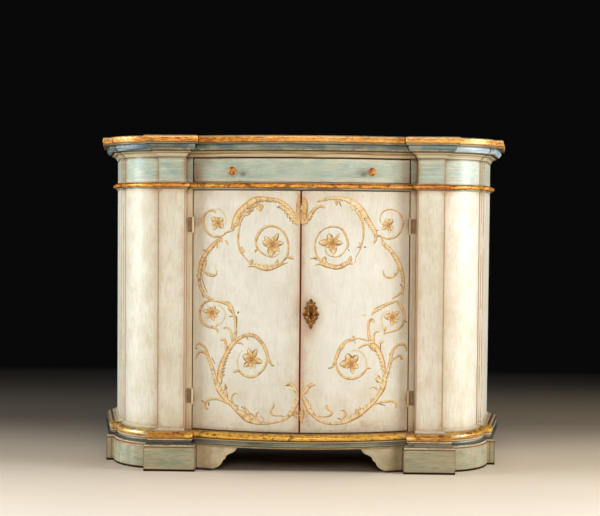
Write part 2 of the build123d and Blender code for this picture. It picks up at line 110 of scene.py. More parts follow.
class Mat:
    def __init__(self, name, rough=0.6, metal=0.0, spec=0.5, coat=0.0, coat_rough=0.3):
        self.m = bpy.data.materials.new(name)
        self.m.use_nodes = True
        nt = self.nt = self.m.node_tree
        nt.nodes.clear()
        out = nt.nodes.new("ShaderNodeOutputMaterial")
        self.b = nt.nodes.new("ShaderNodeBsdfPrincipled")
        nt.links.new(self.b.outputs[0], out.inputs[0])
        self.b.inputs["Roughness"].default_value = rough
        self.b.inputs["Metallic"].default_value = metal
        self.b.inputs["Specular IOR Level"].default_value = spec
        self.b.inputs["Coat Weight"].default_value = coat
        self.b.inputs["Coat Roughness"].default_value = coat_rough
        tc = nt.nodes.new("ShaderNodeTexCoord")
        self.co = tc.outputs["Object"]
        sp = nt.nodes.new("ShaderNodeSeparateXYZ")
        nt.links.new(self.co, sp.inputs[0])
        # coordinates in millimetres of the layout
        self.x = E(self, sp.outputs[0]) * 1000.0
        self.y = E(self, sp.outputs[1]) * 1000.0 + YMID
        self.z = E(self, sp.outputs[2]) * 1000.0 - DROP
        self.ax = self.x.abs()

    def put(self, sock, v):
        if isinstance(v, E):
            v = v.s
        if hasattr(v, "links") or hasattr(v, "is_linked"):
            self.nt.links.new(v, sock)
        else:
            sock.default_value = v

    def math(self, op, a, b=None, clamp=False):
        n = self.nt.nodes.new("ShaderNodeMath")
        n.operation = op
        n.use_clamp = clamp
        self.put(n.inputs[0], a)
        if b is not None:
            self.put(n.inputs[1], b)
        return E(self, n.outputs[0])

    def step(self, v, a, b):
        n = self.nt.nodes.new("ShaderNodeMapRange")
        n.interpolation_type = "SMOOTHSTEP"
        n.inputs[3].default_value, n.inputs[4].default_value = (0.0, 1.0) if a < b else (1.0, 0.0)
        self.put(n.inputs[0], v)
        self.put(n.inputs[1], min(a, b))
        self.put(n.inputs[2], max(a, b))
        return E(self, n.outputs[0])

    def noise(self, scale, detail=3.0, rough=0.55, sc=(1, 1, 1), off=(0, 0, 0), dist=0.0, colour=False):
        """Noise, scale features a metre, stretched by sc."""
        mp = self.nt.nodes.new("ShaderNodeMapping")
        mp.inputs["Location"].default_value = off
        mp.inputs["Scale"].default_value = sc
        self.nt.links.new(self.co, mp.inputs[0])
        n = self.nt.nodes.new("ShaderNodeTexNoise")
        self.nt.links.new(mp.outputs[0], n.inputs["Vector"])
        n.inputs["Scale"].default_value = scale
        n.inputs["Detail"].default_value = detail
        n.inputs["Roughness"].default_value = rough
        n.inputs["Distortion"].default_value = dist
        return n.outputs[1] if colour else E(self, n.outputs[0])

    def cells(self, scale, sc=(1, 1, 1), off=(0, 0, 0)):
        mp = self.nt.nodes.new("ShaderNodeMapping")
        mp.inputs["Location"].default_value = off
        mp.inputs["Scale"].default_value = sc
        self.nt.links.new(self.co, mp.inputs[0])
        n = self.nt.nodes.new("ShaderNodeTexVoronoi")
        self.nt.links.new(mp.outputs[0], n.inputs["Vector"])
        n.inputs["Scale"].default_value = scale
        return E(self, n.outputs[0])

    def mix(self, f, a, b, mode="MIX"):
        n = self.nt.nodes.new("ShaderNodeMix")
        n.data_type = "RGBA"
        n.blend_type = mode
        n.clamp_factor = True
        self.put(n.inputs[0], f)
        self.put(n.inputs[6], a)
        self.put(n.inputs[7], b)
        return n.outputs[2]

    def attr(self, name):
        n = self.nt.nodes.new("ShaderNodeAttribute")
        n.attribute_name = name
        return n

    def bump(self, h, dist=0.0004, strength=0.5):
        n = self.nt.nodes.new("ShaderNodeBump")
        n.inputs["Strength"].default_value = strength
        n.inputs["Distance"].default_value = dist
        self.put(n.inputs["Height"], h)
        self.nt.links.new(n.outputs[0], self.b.inputs["Normal"])

    def colour(self, c):
        self.put(self.b.inputs["Base Color"], c)

    def rough(self, r):
        self.put(self.b.inputs["Roughness"], r)


# ------------------------------------------------------------- paint recipes
def cream(m, dirt):
    """Antiqued cream brushed upright; dirt is the patina mask (0..1+)."""
    low = m.noise(5.0, 3, 0.6)
    mid = m.noise(24.0, 4, 0.65, sc=(1, 1, 0.55), off=(3, 1, 2))
    fine = m.noise(460.0, 2, 0.6, sc=(1, 1, 0.06), off=(1, 5, 2))
    hair = m.noise(1000.0, 1, 0.5, sc=(1, 1, 0.02), off=(7, 2, 4))
    weft = m.noise(420.0, 2, 0.6, sc=(0.05, 0.05, 1), off=(2, 5, 8))
    blot = m.noise(60.0, 4, 0.7, off=(4, 4, 9))
    c = m.mix(low.step(0.35, 0.65), rgb(222, 214, 194), rgb(235, 230, 214))
    c = m.mix(mid.step(0.42, 0.7) * 0.6, c, rgb(208, 192, 163))
    c = m.mix(fine.step(0.46, 0.72) * 0.46, c, rgb(190, 170, 136))
    c = m.mix(weft.step(0.5, 0.76) * 0.14, c, rgb(190, 173, 142))
    c = m.mix(hair.step(0.55, 0.8) * 0.3, c, rgb(246, 242, 229))
    d = (dirt * (0.5 + 1.0 * mid) + (blot.step(0.6, 0.78) * 0.3)).clamp()
    c = m.mix(d * 0.85, c, rgb(196, 168, 128))
    d2 = (dirt * blot * 1.6 - 0.5).clamp()
    c = m.mix(d2, c, rgb(146, 106, 66))
    return c, fine, hair


def sage(m, wear, axis="x", tone="frieze"):
    """Worn sage green brushed along axis; wear is the rubbed-edge mask."""
    st = {"x": (0.03, 1, 1), "z": (1, 1, 0.03)}[axis]
    st2 = {"x": (0.12, 1, 1), "z": (1, 1, 0.12)}[axis]
    pale, deep, warm = {"frieze": ((178, 189, 170), (150, 171, 157), (188, 178, 150)),
                        "plinth": ((166, 160, 130), (138, 145, 117), (186, 160, 120))}[tone]
    low = m.noise(13.0, 3, 0.6, sc=(1, 1, 1.6), off=(2, 2, 2))
    if tone == "plinth":
        low = m.noise(26.0, 4, 0.7, sc=(0.55, 0.55, 1.9), off=(2, 2, 2))
    s1 = m.noise(300.0, 2, 0.6, sc=st, off=(1, 3, 5))
    s2 = m.noise(70.0, 3, 0.65, sc=st2, off=(6, 3, 1))
    blot = m.noise(42.0, 4, 0.7, sc=(0.6, 1, 1), off=(9, 4, 3))
    c = m.mix(low.step(0.4, 0.6), rgb(*pale), rgb(*deep))
    c = m.mix(s2.step(0.44, 0.66) * 0.6, c, rgb(*warm))
    c = m.mix(s1.step(0.52, 0.76) * 0.5, c, rgb(*[min(255, v + 34) for v in pale]))
    c = m.mix(s1.step(0.46, 0.24) * 0.4, c, rgb(*[v - 30 for v in deep]))
    w = (wear * (0.4 + 1.2 * blot) + (s2 * blot).step(0.3, 0.44) * 0.3).clamp()
    c = m.mix(w * 0.85, c, rgb(170, 146, 106))
    w2 = (wear * blot * 1.9 - 0.6).clamp()
    c = m.mix(w2, c, rgb(98, 64, 36))
    return c, s1


def gilt(m, seed=0.0):
    """Mottled water gilding over red-brown bole."""
    a = m.noise(72.0, 4, 0.75, sc=(0.36, 0.36, 1.5), off=(seed, 1, 2), dist=0.6)
    b = m.noise(190.0, 3, 0.7, sc=(0.36, 0.36, 1.5), off=(5, seed, 7))
    e = m.noise(14.0, 2, 0.5, off=(8, 8, seed))
    c = m.mix(a.step(0.42, 0.58), rgb(172, 82, 6), rgb(242, 156, 36))
    c = m.mix(b.step(0.54, 0.63) * 0.9, c, rgb(255, 212, 110))
    c = m.mix(b.step(0.47, 0.38) * 0.95, c, rgb(100, 36, 4))
    c = m.mix(e.step(0.52, 0.66) * 0.4, c, rgb(250, 206, 128))
    k = (a.step(0.42, 0.3) * b.step(0.54, 0.4)).clamp()
    c = m.mix(k * 0.9, c, rgb(58, 26, 10))
    return c, a, b


KI = RB + PIL_IN


def crease(m, w=2.2):
    """1 in the inner corners where the swept mouldings meet, 0 away from them."""
    c1 = m.y - (YQ - ((m.ax - PIL_OUT) * (2 * RQ) + RQ * RQ) ** 0.5)
    c2 = m.ax - (((YQ - m.y) * (2 * RQ) + RQ * RQ) ** 0.5 + PIL_OUT)
    c3 = m.y - (YC - (KI * KI - m.ax * (2 * KI)) ** 0.5)
    return c1.near(0.0, w).max(c2.near(0.0, w)).max(c3.near(0.0, w))


def on_corner(m):
    """1 on the convex corner runs of the mouldings."""
    return m.ax.step(466.0, 480.0) * m.y.step(-22.0, -12.0)


# -------------------------------------------------------------- mesh builders
COLL = bpy.context.scene.collection


def piece(name, verts, faces, mat, body, repl=(), angle=32.0, fix=True, mirror=False):
    if mirror:
        verts = [(-v[0], v[1], v[2]) for v in verts]
    me = bpy.data.meshes.new(name)
    me.from_pydata(verts, [], faces)
    me.validate()
    if fix:
        bm = bmesh.new()
        bm.from_mesh(me)
        bmesh.ops.remove_doubles(bm, verts=bm.verts, dist=1e-6)
        bmesh.ops.recalc_face_normals(bm, faces=bm.faces)
        bm.to_mesh(me)
        bm.free()
    me.shade_smooth()
    me.set_sharp_from_angle(angle=math.radians(angle))
    o = bpy.data.objects.new(name, me)
    COLL.objects.link(o)
    for mt in (mat if isinstance(mat, (list, tuple)) else [mat]):
        me.materials.append(mt.m if isinstance(mt, Mat) else mt)
    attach(o, body)
    if repl:
        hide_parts(*repl)
    return o


def smooth_line(pts, n=4):
    """Catmull-Rom through pts, n steps a span."""
    if len(pts) < 3:
        return [tuple(p) for p in pts]
    out = []
    q = [tuple(2 * a - b for a, b in zip(pts[0], pts[1]))] + list(pts) + [
        tuple(2 * a - b for a, b in zip(pts[-1], pts[-2]))]
    for i in range(1, len(q) - 2):
        for k in range(n):
            t = k / n
            out.append(tuple(0.5 * ((2 * b) + (c - a) * t + (2 * a - 5 * b + 4 * c - d) * t * t
                                    + (3 * b - a - 3 * c + d) * t ** 3)
                             for a, b, c, d in zip(q[i - 1], q[i], q[i + 1], q[i + 2])))
    out.append(tuple(pts[-1]))
    return out


def seg(a, b, n):
    return [(a[0] + (b[0] - a[0]) * i / n, a[1] + (b[1] - a[1]) * i / n) for i in range(n)]


def soft_corner(c, d_in, d_out, r=1.3, n=3):
    """Points of a small round at corner c; d_in, d_out are unit directions."""
    a = (c[0] - d_in[0] * r, c[1] - d_in[1] * r)
    b = (c[0] + d_out[0] * r, c[1] + d_out[1] * r)
    out = []
    for i in range(n + 1):
        t = i / n
        out.append(((1 - t) ** 2 * a[0] + 2 * t * (1 - t) * c[0] + t * t * b[0],
                    (1 - t) ** 2 * a[1] + 2 * t * (1 - t) * c[1] + t * t * b[1]))
    return out


def corner_plan(p, kind):
    """Arc of the convex corner and the two ends of the splayed side."""
    n = 26
    if kind == "top":
        ry, rx = RQ + p, RQ + p + 13.0
        a0, a1 = math.asin(p / rx), math.acos((p + 8.0) / ry)
        f, g = (599.0 + p, YQ - p - 8.0), (649.0 + p, YBK)
    else:
        ry = rx = RQ + p
        a0, a1 = math.asin(p / rx), math.acos(p / ry)
        f = (STEP_X + UY * p + UX * (-p + UX * p) / UY, YQ - p)
        g = (STEP_X + UY * p + UX * (YBK - YQ + UX * p) / UY, YBK)
        if kind == "plinth":
            f, g = (592.0 + p, YQ - p), (610.0 + p, YBK)
        else:
            wide = {"body": 0.0, "crown": 0.12, "base": 0.22}[kind] * p
            f, g = (f[0] + wide, f[1]), (g[0] + wide, g[1])
    pts = [(PIL_OUT + rx * math.sin(a0 + (a1 - a0) * i / n), YQ - ry * math.cos(a0 + (a1 - a0) * i / n))
           for i in range(n + 1)]
    return pts, f, g


def side_path(p, inner=True, kind="crown"):
    """Right side in plan at offset p, from the block's inner return to the back."""
    xi = PIL_IN - p
    q, f, g = corner_plan(p, kind)
    d, e = q[0], q[-1]
    a = (xi, yb(xi, p)) if inner else (PIL_IN, -p)
    b, c = (xi if inner else PIL_IN, -p), (PIL_OUT + p, -p)
    out = []
    if inner:
        out += seg(a, (b[0], b[1] + 1.3), 6)
        out += soft_corner(b, (0, -1), (1, 0))
        out += seg((b[0] + 1.3, b[1]), (c[0] - 1.3, c[1]), 12)[1:]
    else:
        out += seg(b, (c[0] - 1.3, c[1]), 12)
    out += soft_corner(c, (1, 0), (0, 1))
    out += seg((c[0], c[1] + 1.3), d, 6)[1:]
    out += q[:-1]
    ln = math.hypot(g[0] - f[0], g[1] - f[1])
    ux, uy = (g[0] - f[0]) / ln, (g[1] - f[1]) / ln
    out += seg(e, (f[0] - 1.3, f[1]), 3)
    out += soft_corner(f, (1, 0), (ux, uy))
    out += seg((f[0] + ux * 1.3, f[1] + uy * 1.3), g, 16)[1:]
    out.append(g)
    return out


def centre_path(p):
    x = PIL_IN - p
    return [(-x + 2 * x * i / 84.0, yb(-x + 2 * x * i / 84.0, p)) for i in range(85)]


def sweep(name, path, prof, mat, body, repl, mirror=False, wob=0.25, seed=0.0, angle=28.0):
    """Closed moulding: profile points (p, z), smooth runs given as lists of
    points and sharp ones as single points, swept along path(p)."""
    rows = [(0.4, prof[0][0][1] if isinstance(prof[0], list) else prof[0][1])]
    for it in prof:
        if isinstance(it, list):
            rows += smooth_line(it, 4)
        else:
            rows.append(it)
    rows.append((0.4, rows[-1][1]))
    clean = [rows[0]]
    for q in rows[1:]:
        if abs(q[0] - clean[-1][0]) + abs(q[1] - clean[-1][1]) > 0.02:
            clean.append(q)
    rows = clean
    verts, n = [], None
    for k, (p, z) in enumerate(rows):
        A, B = path(p), path(max(p - 1.0, 0.0))
        n = len(A)
        for (ax, ay), (bx, by) in zip(A, B):
            dlt = 0.0
            if p > 1.2:
                dlt = wob * (0.5 + 0.5 * nz(ax, ay, z, 26, seed) * 1.4) + 0.5 * wob * max(
                    0.0, nz(ax, ay, z * 2, 120, seed + 3))
                dlt = min(max(dlt, 0.0), 0.9)
            verts.append(W(ax + (bx - ax) * dlt, ay + (by - ay) * dlt, z))
    m = len(rows)
    faces = []
    for k in range(m):
        k2 = (k + 1) % m
        for i in range(n - 1):
            faces.append((k * n + i, k * n + i + 1, k2 * n + i + 1, k2 * n + i))
    faces.append(tuple(k * n for k in range(m)))
    faces.append(tuple(k * n + n - 1 for k in range(m - 1, -1, -1)))
    return piece(name, verts, faces, mat, body, repl, angle, mirror=mirror)


def whole_path(p, kind="top"):
    right = side_path(p, True, kind)
    left = [(-x, y) for x, y in right][::-1]
    x = PIL_IN - p
    mid = [(-x + 2 * x * i / 84.0, yb(-x + 2 * x * i / 84.0, p)) for i in range(1, 84)]
    back = seg(right[-1], left[0], 40)[1:]
    return right + back + left + mid


def normals2(pts):
    out, n = [], len(pts)
    area = sum(pts[i][0] * pts[(i + 1) % n][1] - pts[(i + 1) % n][0] * pts[i][1] for i in range(n))
    sg = 1.0 if area > 0 else -1.0
    for i in range(n):
        a, c, b = pts[i - 1], pts[i], pts[(i + 1) % n]
        u = Vector((c[0] - a[0], c[1] - a[1])).normalized()
        v = Vector((b[0] - c[0], b[1] - c[1])).normalized()
        nn = Vector((u.y + v.y, -u.x - v.x)) * sg
        ln = nn.length
        nn = nn / ln if ln > 1e-6 else Vector((0, 0))
        k = max(0.5, abs(Vector((u.y, -u.x)).dot(nn)))
        out.append((nn.x / k, nn.y / k))
    return out


def prism(name, pts, z0, z1, mat, body, repl, r_top=0.0, r_bot=0.0, step=25.0, mirror=False,
          wob=0.0, seed=0.0, angle=30.0):
    """Upright prism over the outline pts with rounded top and bottom rims."""
    nrm = normals2(pts)
    rows = []
    if r_bot > 0:
        rows += [(r_bot * (1 - math.sin(a)), z0 + r_bot * (1 - math.cos(a)))
                 for a in (0.0, 0.52, 1.05)]
        rows.append((0.0, z0 + r_bot))
    else:
        rows.append((0.0, z0))
    k = max(1, int(round((z1 - z0 - r_top - r_bot) / step)))
    a0 = z0 + r_bot
    rows += [(0.0, a0 + (z1 - r_top - a0) * i / k) for i in range(1, k + 1)]
    if r_top > 0:
        rows += [(r_top * (1 - math.cos(a)), z1 - r_top * (1 - math.sin(a)))
                 for a in (0.52, 1.05, 1.5708)]
    n = len(pts)
    verts = []
    for ins, z in rows:
        for (x, y), (nx_, ny_) in zip(pts, nrm):
            w = wob * (0.5 + 0.5 * nz(x, y, z, 9, seed)) if wob else 0.0
            verts.append(W(x - nx_ * (ins + w), y - ny_ * (ins + w), z))
    faces = []
    for r in range(len(rows) - 1):
        for i in range(n):
            j = (i + 1) % n
            faces.append((r * n + i, r * n + j, (r + 1) * n + j, (r + 1) * n + i))
    faces.append(tuple(range(n - 1, -1, -1)))
    faces.append(tuple(range((len(rows) - 1) * n, len(rows) * n)))
    return piece(name, verts, faces, mat, body, repl, angle, mirror=mirror)


def edge_run(a, b, r, step):
    """Positions from a to b with a small round of radius r at both ends."""
    e = [r * (1 - math.cos(t)) for t in (0.0, 0.39, 0.79, 1.18, 1.57)]
    k = max(1, int(round((b - a - 2 * r) / step)))
    mid = [a + r + (b - a - 2 * r) * i / k for i in range(1, k)]
    return [a + d for d in e] + mid + [b - d for d in reversed(e)]


def bow_board(name, x0, x1, z0, z1, p_out, p_in, r, mat, body, repl, step=8.0, wob=0.15, seed=0.0):
    """Curved board with softly rounded front edges."""
    xs, zs = edge_run(x0, x1, r, step), edge_run(z0, z1, r, step)
    nx_, nz_ = len(xs), len(zs)
    verts = []
    for z in zs:
        for x in xs:
            dx = max(0.0, r - (x - x0), r - (x1 - x))
            dz = max(0.0, r - (z - z0), r - (z1 - z))
            q = r * r - dx * dx - dz * dz
            dep = r - math.sqrt(q) if q > 0 else r
            dep = min(dep, r)
            w = wob * (0.5 + 0.5 * nz(x, 0, z, 7, seed))
            p = p_out - dep - w
            verts.append(W(x, yb(x, p), z))
    off = len(verts)
    for z in zs:
        for x in xs:
            verts.append(W(x, yb(x, p_in), z))
    faces = []
    for j in range(nz_ - 1):
        for i in range(nx_ - 1):
            a = j * nx_ + i
            faces.append((a, a + 1, a + nx_ + 1, a + nx_))
            faces.append((off + a, off + a + nx_, off + a + nx_ + 1, off + a + 1))
    rim = [i for i in range(nx_)] + [j * nx_ + nx_ - 1 for j in range(1, nz_)] + [
        (nz_ - 1) * nx_ + i for i in range(nx_ - 2, -1, -1)] + [j * nx_ for j in range(nz_ - 2, 0, -1)]
    for a, b in zip(rim, rim[1:] + rim[:1]):
        faces.append((a, off + a, off + b, b))
    return piece(name, verts, faces, mat, body, repl, 30.0)


def lathe(name, prof, mat_fn, mat, body, repl, seg_n=40):
    """Turned piece; prof is (radius, height), mat_fn(x, y, h) places a point."""
    rows = smooth_line(prof, 3)
    verts, faces = [], []
    for r, h in rows:
        for i in range(seg_n):
            a = 2 * math.pi * i / seg_n
            verts.append(mat_fn(r * math.cos(a), r * math.sin(a), h))
    for k in range(len(rows) - 1):
        for i in range(seg_n):
            j = (i + 1) % seg_n
            faces.append((k * seg_n + i, k * seg_n + j, (k + 1) * seg_n + j, (k + 1) * seg_n + i))
    faces.append(tuple(range(seg_n)))
    faces.append(tuple(range((len(rows) - 1) * seg_n, len(rows) * seg_n)))
    return piece(name, verts, faces, mat, body, repl, 40.0)


# ----------------------------------------------------- painted relief strokes
OCHRE = {
    "s": ((228, 174, 98), (253, 236, 194), (118, 68, 24), 0.5),
    "p": ((226, 198, 146), (242, 226, 190), (176, 138, 88), 0.3),
    "l": ((226, 168, 90), (253, 234, 186), (106, 60, 18), 0.55),
    "d": ((150, 104, 58), (170, 122, 72), (122, 78, 40), 0.52),
    "k": ((98, 68, 42), (120, 86, 54), (78, 52, 32), 0.56),
    "h": ((244, 228, 190), (250, 238, 206), (226, 200, 150), 0.56),
}
ACROSS = (-1.0, -0.66, -0.28, 0.28, 0.66, 1.0)
RISE = (0.0, 0.72, 1.0, 1.0, 0.72, 0.0)


def even_steps(line, step):
    """The same line with points at even distances."""
    out, need = [line[0]], step
    for a, b in zip(line, line[1:]):
        d = math.hypot(b[0] - a[0], b[1] - a[1])
        while d > 1e-9 and need <= d:
            t = need / d
            out.append(tuple(u + (v - u) * t for u, v in zip(a, b)))
            need += step
        need -= d
    if len(out) < 2 or math.hypot(out[-1][0] - line[-1][0], out[-1][1] - line[-1][1]) > step * 0.3:
        out.append(line[-1])
    return out


def blend3(a, b, t):
    t = max(0.0, min(1.0, t))
    return tuple(x + (y - x) * t for x, y in zip(a, b))


class Relief:
    """Thin raised paint on the bowed front, built up as one mesh."""

    def __init__(self, p0=0.0):
        self.v, self.f, self.c, self.p0 = [], [], [], p0

    def ring(self, x, z, tx, tz, w, h, cols, base=-0.06, sides=(1.0, 1.0)):
        nx_, nz_ = -tz, tx
        k = len(self.v)
        for t, up, c in zip(ACROSS, RISE, cols):
            q = w * 0.5 * t * (sides[0] if t < 0 else sides[1])
            px, pz = x + nx_ * q, z + nz_ * q
            p = self.p0 + base + (h - base) * up
            self.v.append(W(px, yb(px, p), pz))
            self.c.append(c)
        return k

    def tube(self, rings):
        n = len(ACROSS)
        for a, b in zip(rings, rings[1:]):
            for i in range(n):
                j = (i + 1) % n
                self.f.append((a + i, b + i, b + j, a + j))
        self.f.append(tuple(rings[0] + i for i in range(n)))
        self.f.append(tuple(rings[-1] + i for i in range(n - 1, -1, -1)))

    def stroke(self, kind, pts, seed=0.0, h=None):
        base, hi, sh, h0 = OCHRE[kind]
        h = h or h0
        wide = max(q[2] for q in pts)
        leafy = wide > 4.6 and kind in ("s", "l")
        line = smooth_line(pts, 5)
        if leafy:
            line = even_steps(line, 1.1)
        turn = 0.0
        for a, b, c in zip(pts, pts[1:], pts[2:]):
            turn += (b[0] - a[0]) * (c[1] - b[1]) - (b[1] - a[1]) * (c[0] - b[0])
        inner = 1.0 if turn > 0 else -1.0
        rings, run = [], 0.0
        for i, (x, z, w) in enumerate(line):
            a, b = line[max(i - 1, 0)], line[min(i + 1, len(line) - 1)]
            tx, tz = b[0] - a[0], b[1] - a[1]
            ln = math.hypot(tx, tz) or 1.0
            tx, tz = tx / ln, tz / ln
            nx_, nz_ = -tz, tx
            lit = nx_ * -0.45 + nz_ * 0.89
            g = nz(x, 0, z, 90, seed)
            g2 = nz(x, 5, z, 260, seed)
            sides, k, ph = (1.0, 1.0), 0.0, 0.0
            if leafy:
                k = min(1.0, max(0.0, (w - 4.2) / 3.2))
                ph = run / (8.4 + 0.35 * w) + 0.4 + seed + 0.55 * g
                f = (ph + 0.25) % 1.0
                out = 1.0 + k * (0.75 + 0.5 * g2) * (1.05 * f ** 0.8 - 0.36)
                sides = (out, 1.0) if inner < 0 else (1.0, out)
                run += 1.1
            cols = []
            for t in ACROSS:
                q = t * inner
                s = lit * t + 0.22 * g2
                c = blend3(base, hi, (s - 0.02) * 1.15) if s > 0 else blend3(base, sh, (-s - 0.02) * 1.2)
                if leafy:
                    low = max(0.0, -s)
                    c = blend3(c, blend3((252, 232, 192), (232, 196, 136), low), 0.85 * k * (1.0 if -0.5 < q < 0.9 else 0.0))
                    if q < -0.5:
                        c = blend3(c, blend3((224, 150, 52), (180, 108, 34), low), 0.85 * k)
                    f = (ph + 0.6 * q - 0.35 + 0.06 * g2) % 1.0
                    vein = k * max(0.0, 1 - abs(f - 0.14) / 0.22) * max(0.0, min(1.0, 0.5 + 0.6 * q))
                    c = blend3(c, (198, 126, 42), 0.45 * k * f * max(0.0, 0.5 + 0.5 * q))
                    c = blend3(c, blend3((160, 88, 22), (96, 46, 12), q), vein)
                elif abs(t) < 0.5:
                    c = blend3(c, hi, 0.3)
                if abs(t) > 0.95:
                    c = blend3(c, sh, 0.9 if s < 0.1 else 0.3)
                elif abs(t) > 0.6 and s < -0.3:
                    c = blend3(c, sh, 0.3)
                c = blend3(c, hi, max(0.0, g) * 0.5)
                c = blend3(c, sh, max(0.0, -g - 0.1) * 0.6)
                cols.append(c)
            hh = h * (0.8 + 0.35 * g2) * min(1.0, 0.35 + w / 6.0)
            rings.append(self.ring(x, z, tx, tz, max(w * 1.24 + 0.75, 0.5), hh, cols, sides=sides))
        self.tube(rings)

    def petal(self, cx, cz, ang, ln, wd, dark):
        a = math.radians(ang)
        dx, dz = math.cos(a), math.sin(a)
        rings, n = [], 9
        for i in range(n + 1):
            t = i / n
            d = 1.2 + (ln - 1.2) * t
            w = wd * max(0.04, math.sin(math.pi * min(1.0, 0.1 + 0.88 * t) ** 1.15)) ** 0.7
            bend = 0.1 * ln * math.sin(2.2 * t) * (0.5 if dark else -0.4)
            x, z = cx + dx * d - dz * bend, cz + dz * d + dx * bend
            cols = []
            for k, q in enumerate(ACROSS):
                c = blend3((164, 94, 32), (236, 184, 106), t * 2.6)
                c = blend3(c, (251, 230, 186), (t - 0.36) * 1.9)
                lit = -dz * -0.45 + dx * 0.89
                c = blend3(c, (248, 230, 188), 0.5 * max(0.0, lit * q))
                c = blend3(c, (164, 100, 40), 0.8 * max(0.0, -lit * q))
                if k in (2, 3):
                    c = blend3(c, (186, 124, 60), 0.35 * (1 - t))
                if abs(q) < 0.3 and 0.2 < t < 0.5:
                    c = blend3(c, (204, 128, 46), 0.4)
                if 0.6 < abs(q) < 0.9:
                    c = blend3(c, (158, 98, 42), 0.3)
                if abs(q) > 0.95 or t > 0.97:
                    c = blend3(c, (92, 50, 20), 0.95)
                if t < 0.22:
                    c = blend3(c, (146, 78, 20), 0.8)
                if dark == 1 and q < -0.6 and t > 0.2:
                    c = blend3(c, (84, 52, 30), 0.85)
                if dark == 2 and q > 0.6 and t > 0.2:
                    c = blend3(c, (84, 52, 30), 0.85)
                cols.append(c)
            rings.append(self.ring(x, z, dx, dz, w, 0.5 + 0.1 * math.sin(3 * t), cols))
        self.tube(rings)

    def flower(self, cx, cz, petals):
        big = 1.0 if sum(q[1] for q in petals) / len(petals) > 15.0 else 1.18
        for a, ln, wd, dk in petals:
            self.petal(cx, cz, a, ln * 1.3 * big, wd * 1.35 * big, dk)
            if ln > 9:
                self.petal(cx, cz, a + 34, ln * 0.8, wd * 0.7, 0)
        angs = sorted(q[0] % 360.0 for q in petals)
        for a, b in zip(angs, angs[1:] + [angs[0] + 360.0]):
            g = math.radians((a + b) * 0.5)
            ln = 0.62 * sum(q[1] for q in petals) / len(petals)
            rings = []
            for t, w in ((0.1, 1.2), (0.45, 1.9), (0.8, 1.5), (1.0, 0.5)):
                cols = [blend3((104, 54, 18), (168, 104, 48), t)] * 6
                rings.append(self.ring(cx + math.cos(g) * ln * t, cz + math.sin(g) * ln * t, math.cos(g),
                                       math.sin(g), w, 0.66, cols))
            self.tube(rings)
        for i in range(5):
            a = math.radians(40 + 72 * i)
            x, z = cx + 1.5 * math.cos(a), cz + 1.5 * math.sin(a)
            c = [(132, 66, 16)] * 6 if i % 2 else [(226, 164, 80)] * 6
            r = [self.ring(x - 1.0, z, 1, 0, 0.6, 0.7, c), self.ring(x, z, 1, 0, 2.0, 0.8, c),
                 self.ring(x + 1.0, z, 1, 0, 0.6, 0.7, c)]
            self.tube(r)

    def make(self, name, mat, body):
        o = piece(name, self.v, self.f, mat, body, (), 50.0, fix=False)
        me = o.data
        ca = me.color_attributes.new("tint", "FLOAT_COLOR", "POINT")
        flat = []
        for c in self.c:
            flat.extend(rgb(*c))
        ca.data.foreach_set("color", flat)
        bm = bmesh.new()
        bm.from_mesh(me)
        bmesh.ops.recalc_face_normals(bm, faces=bm.faces)
        bm.to_mesh(me)
        bm.free()
        return o


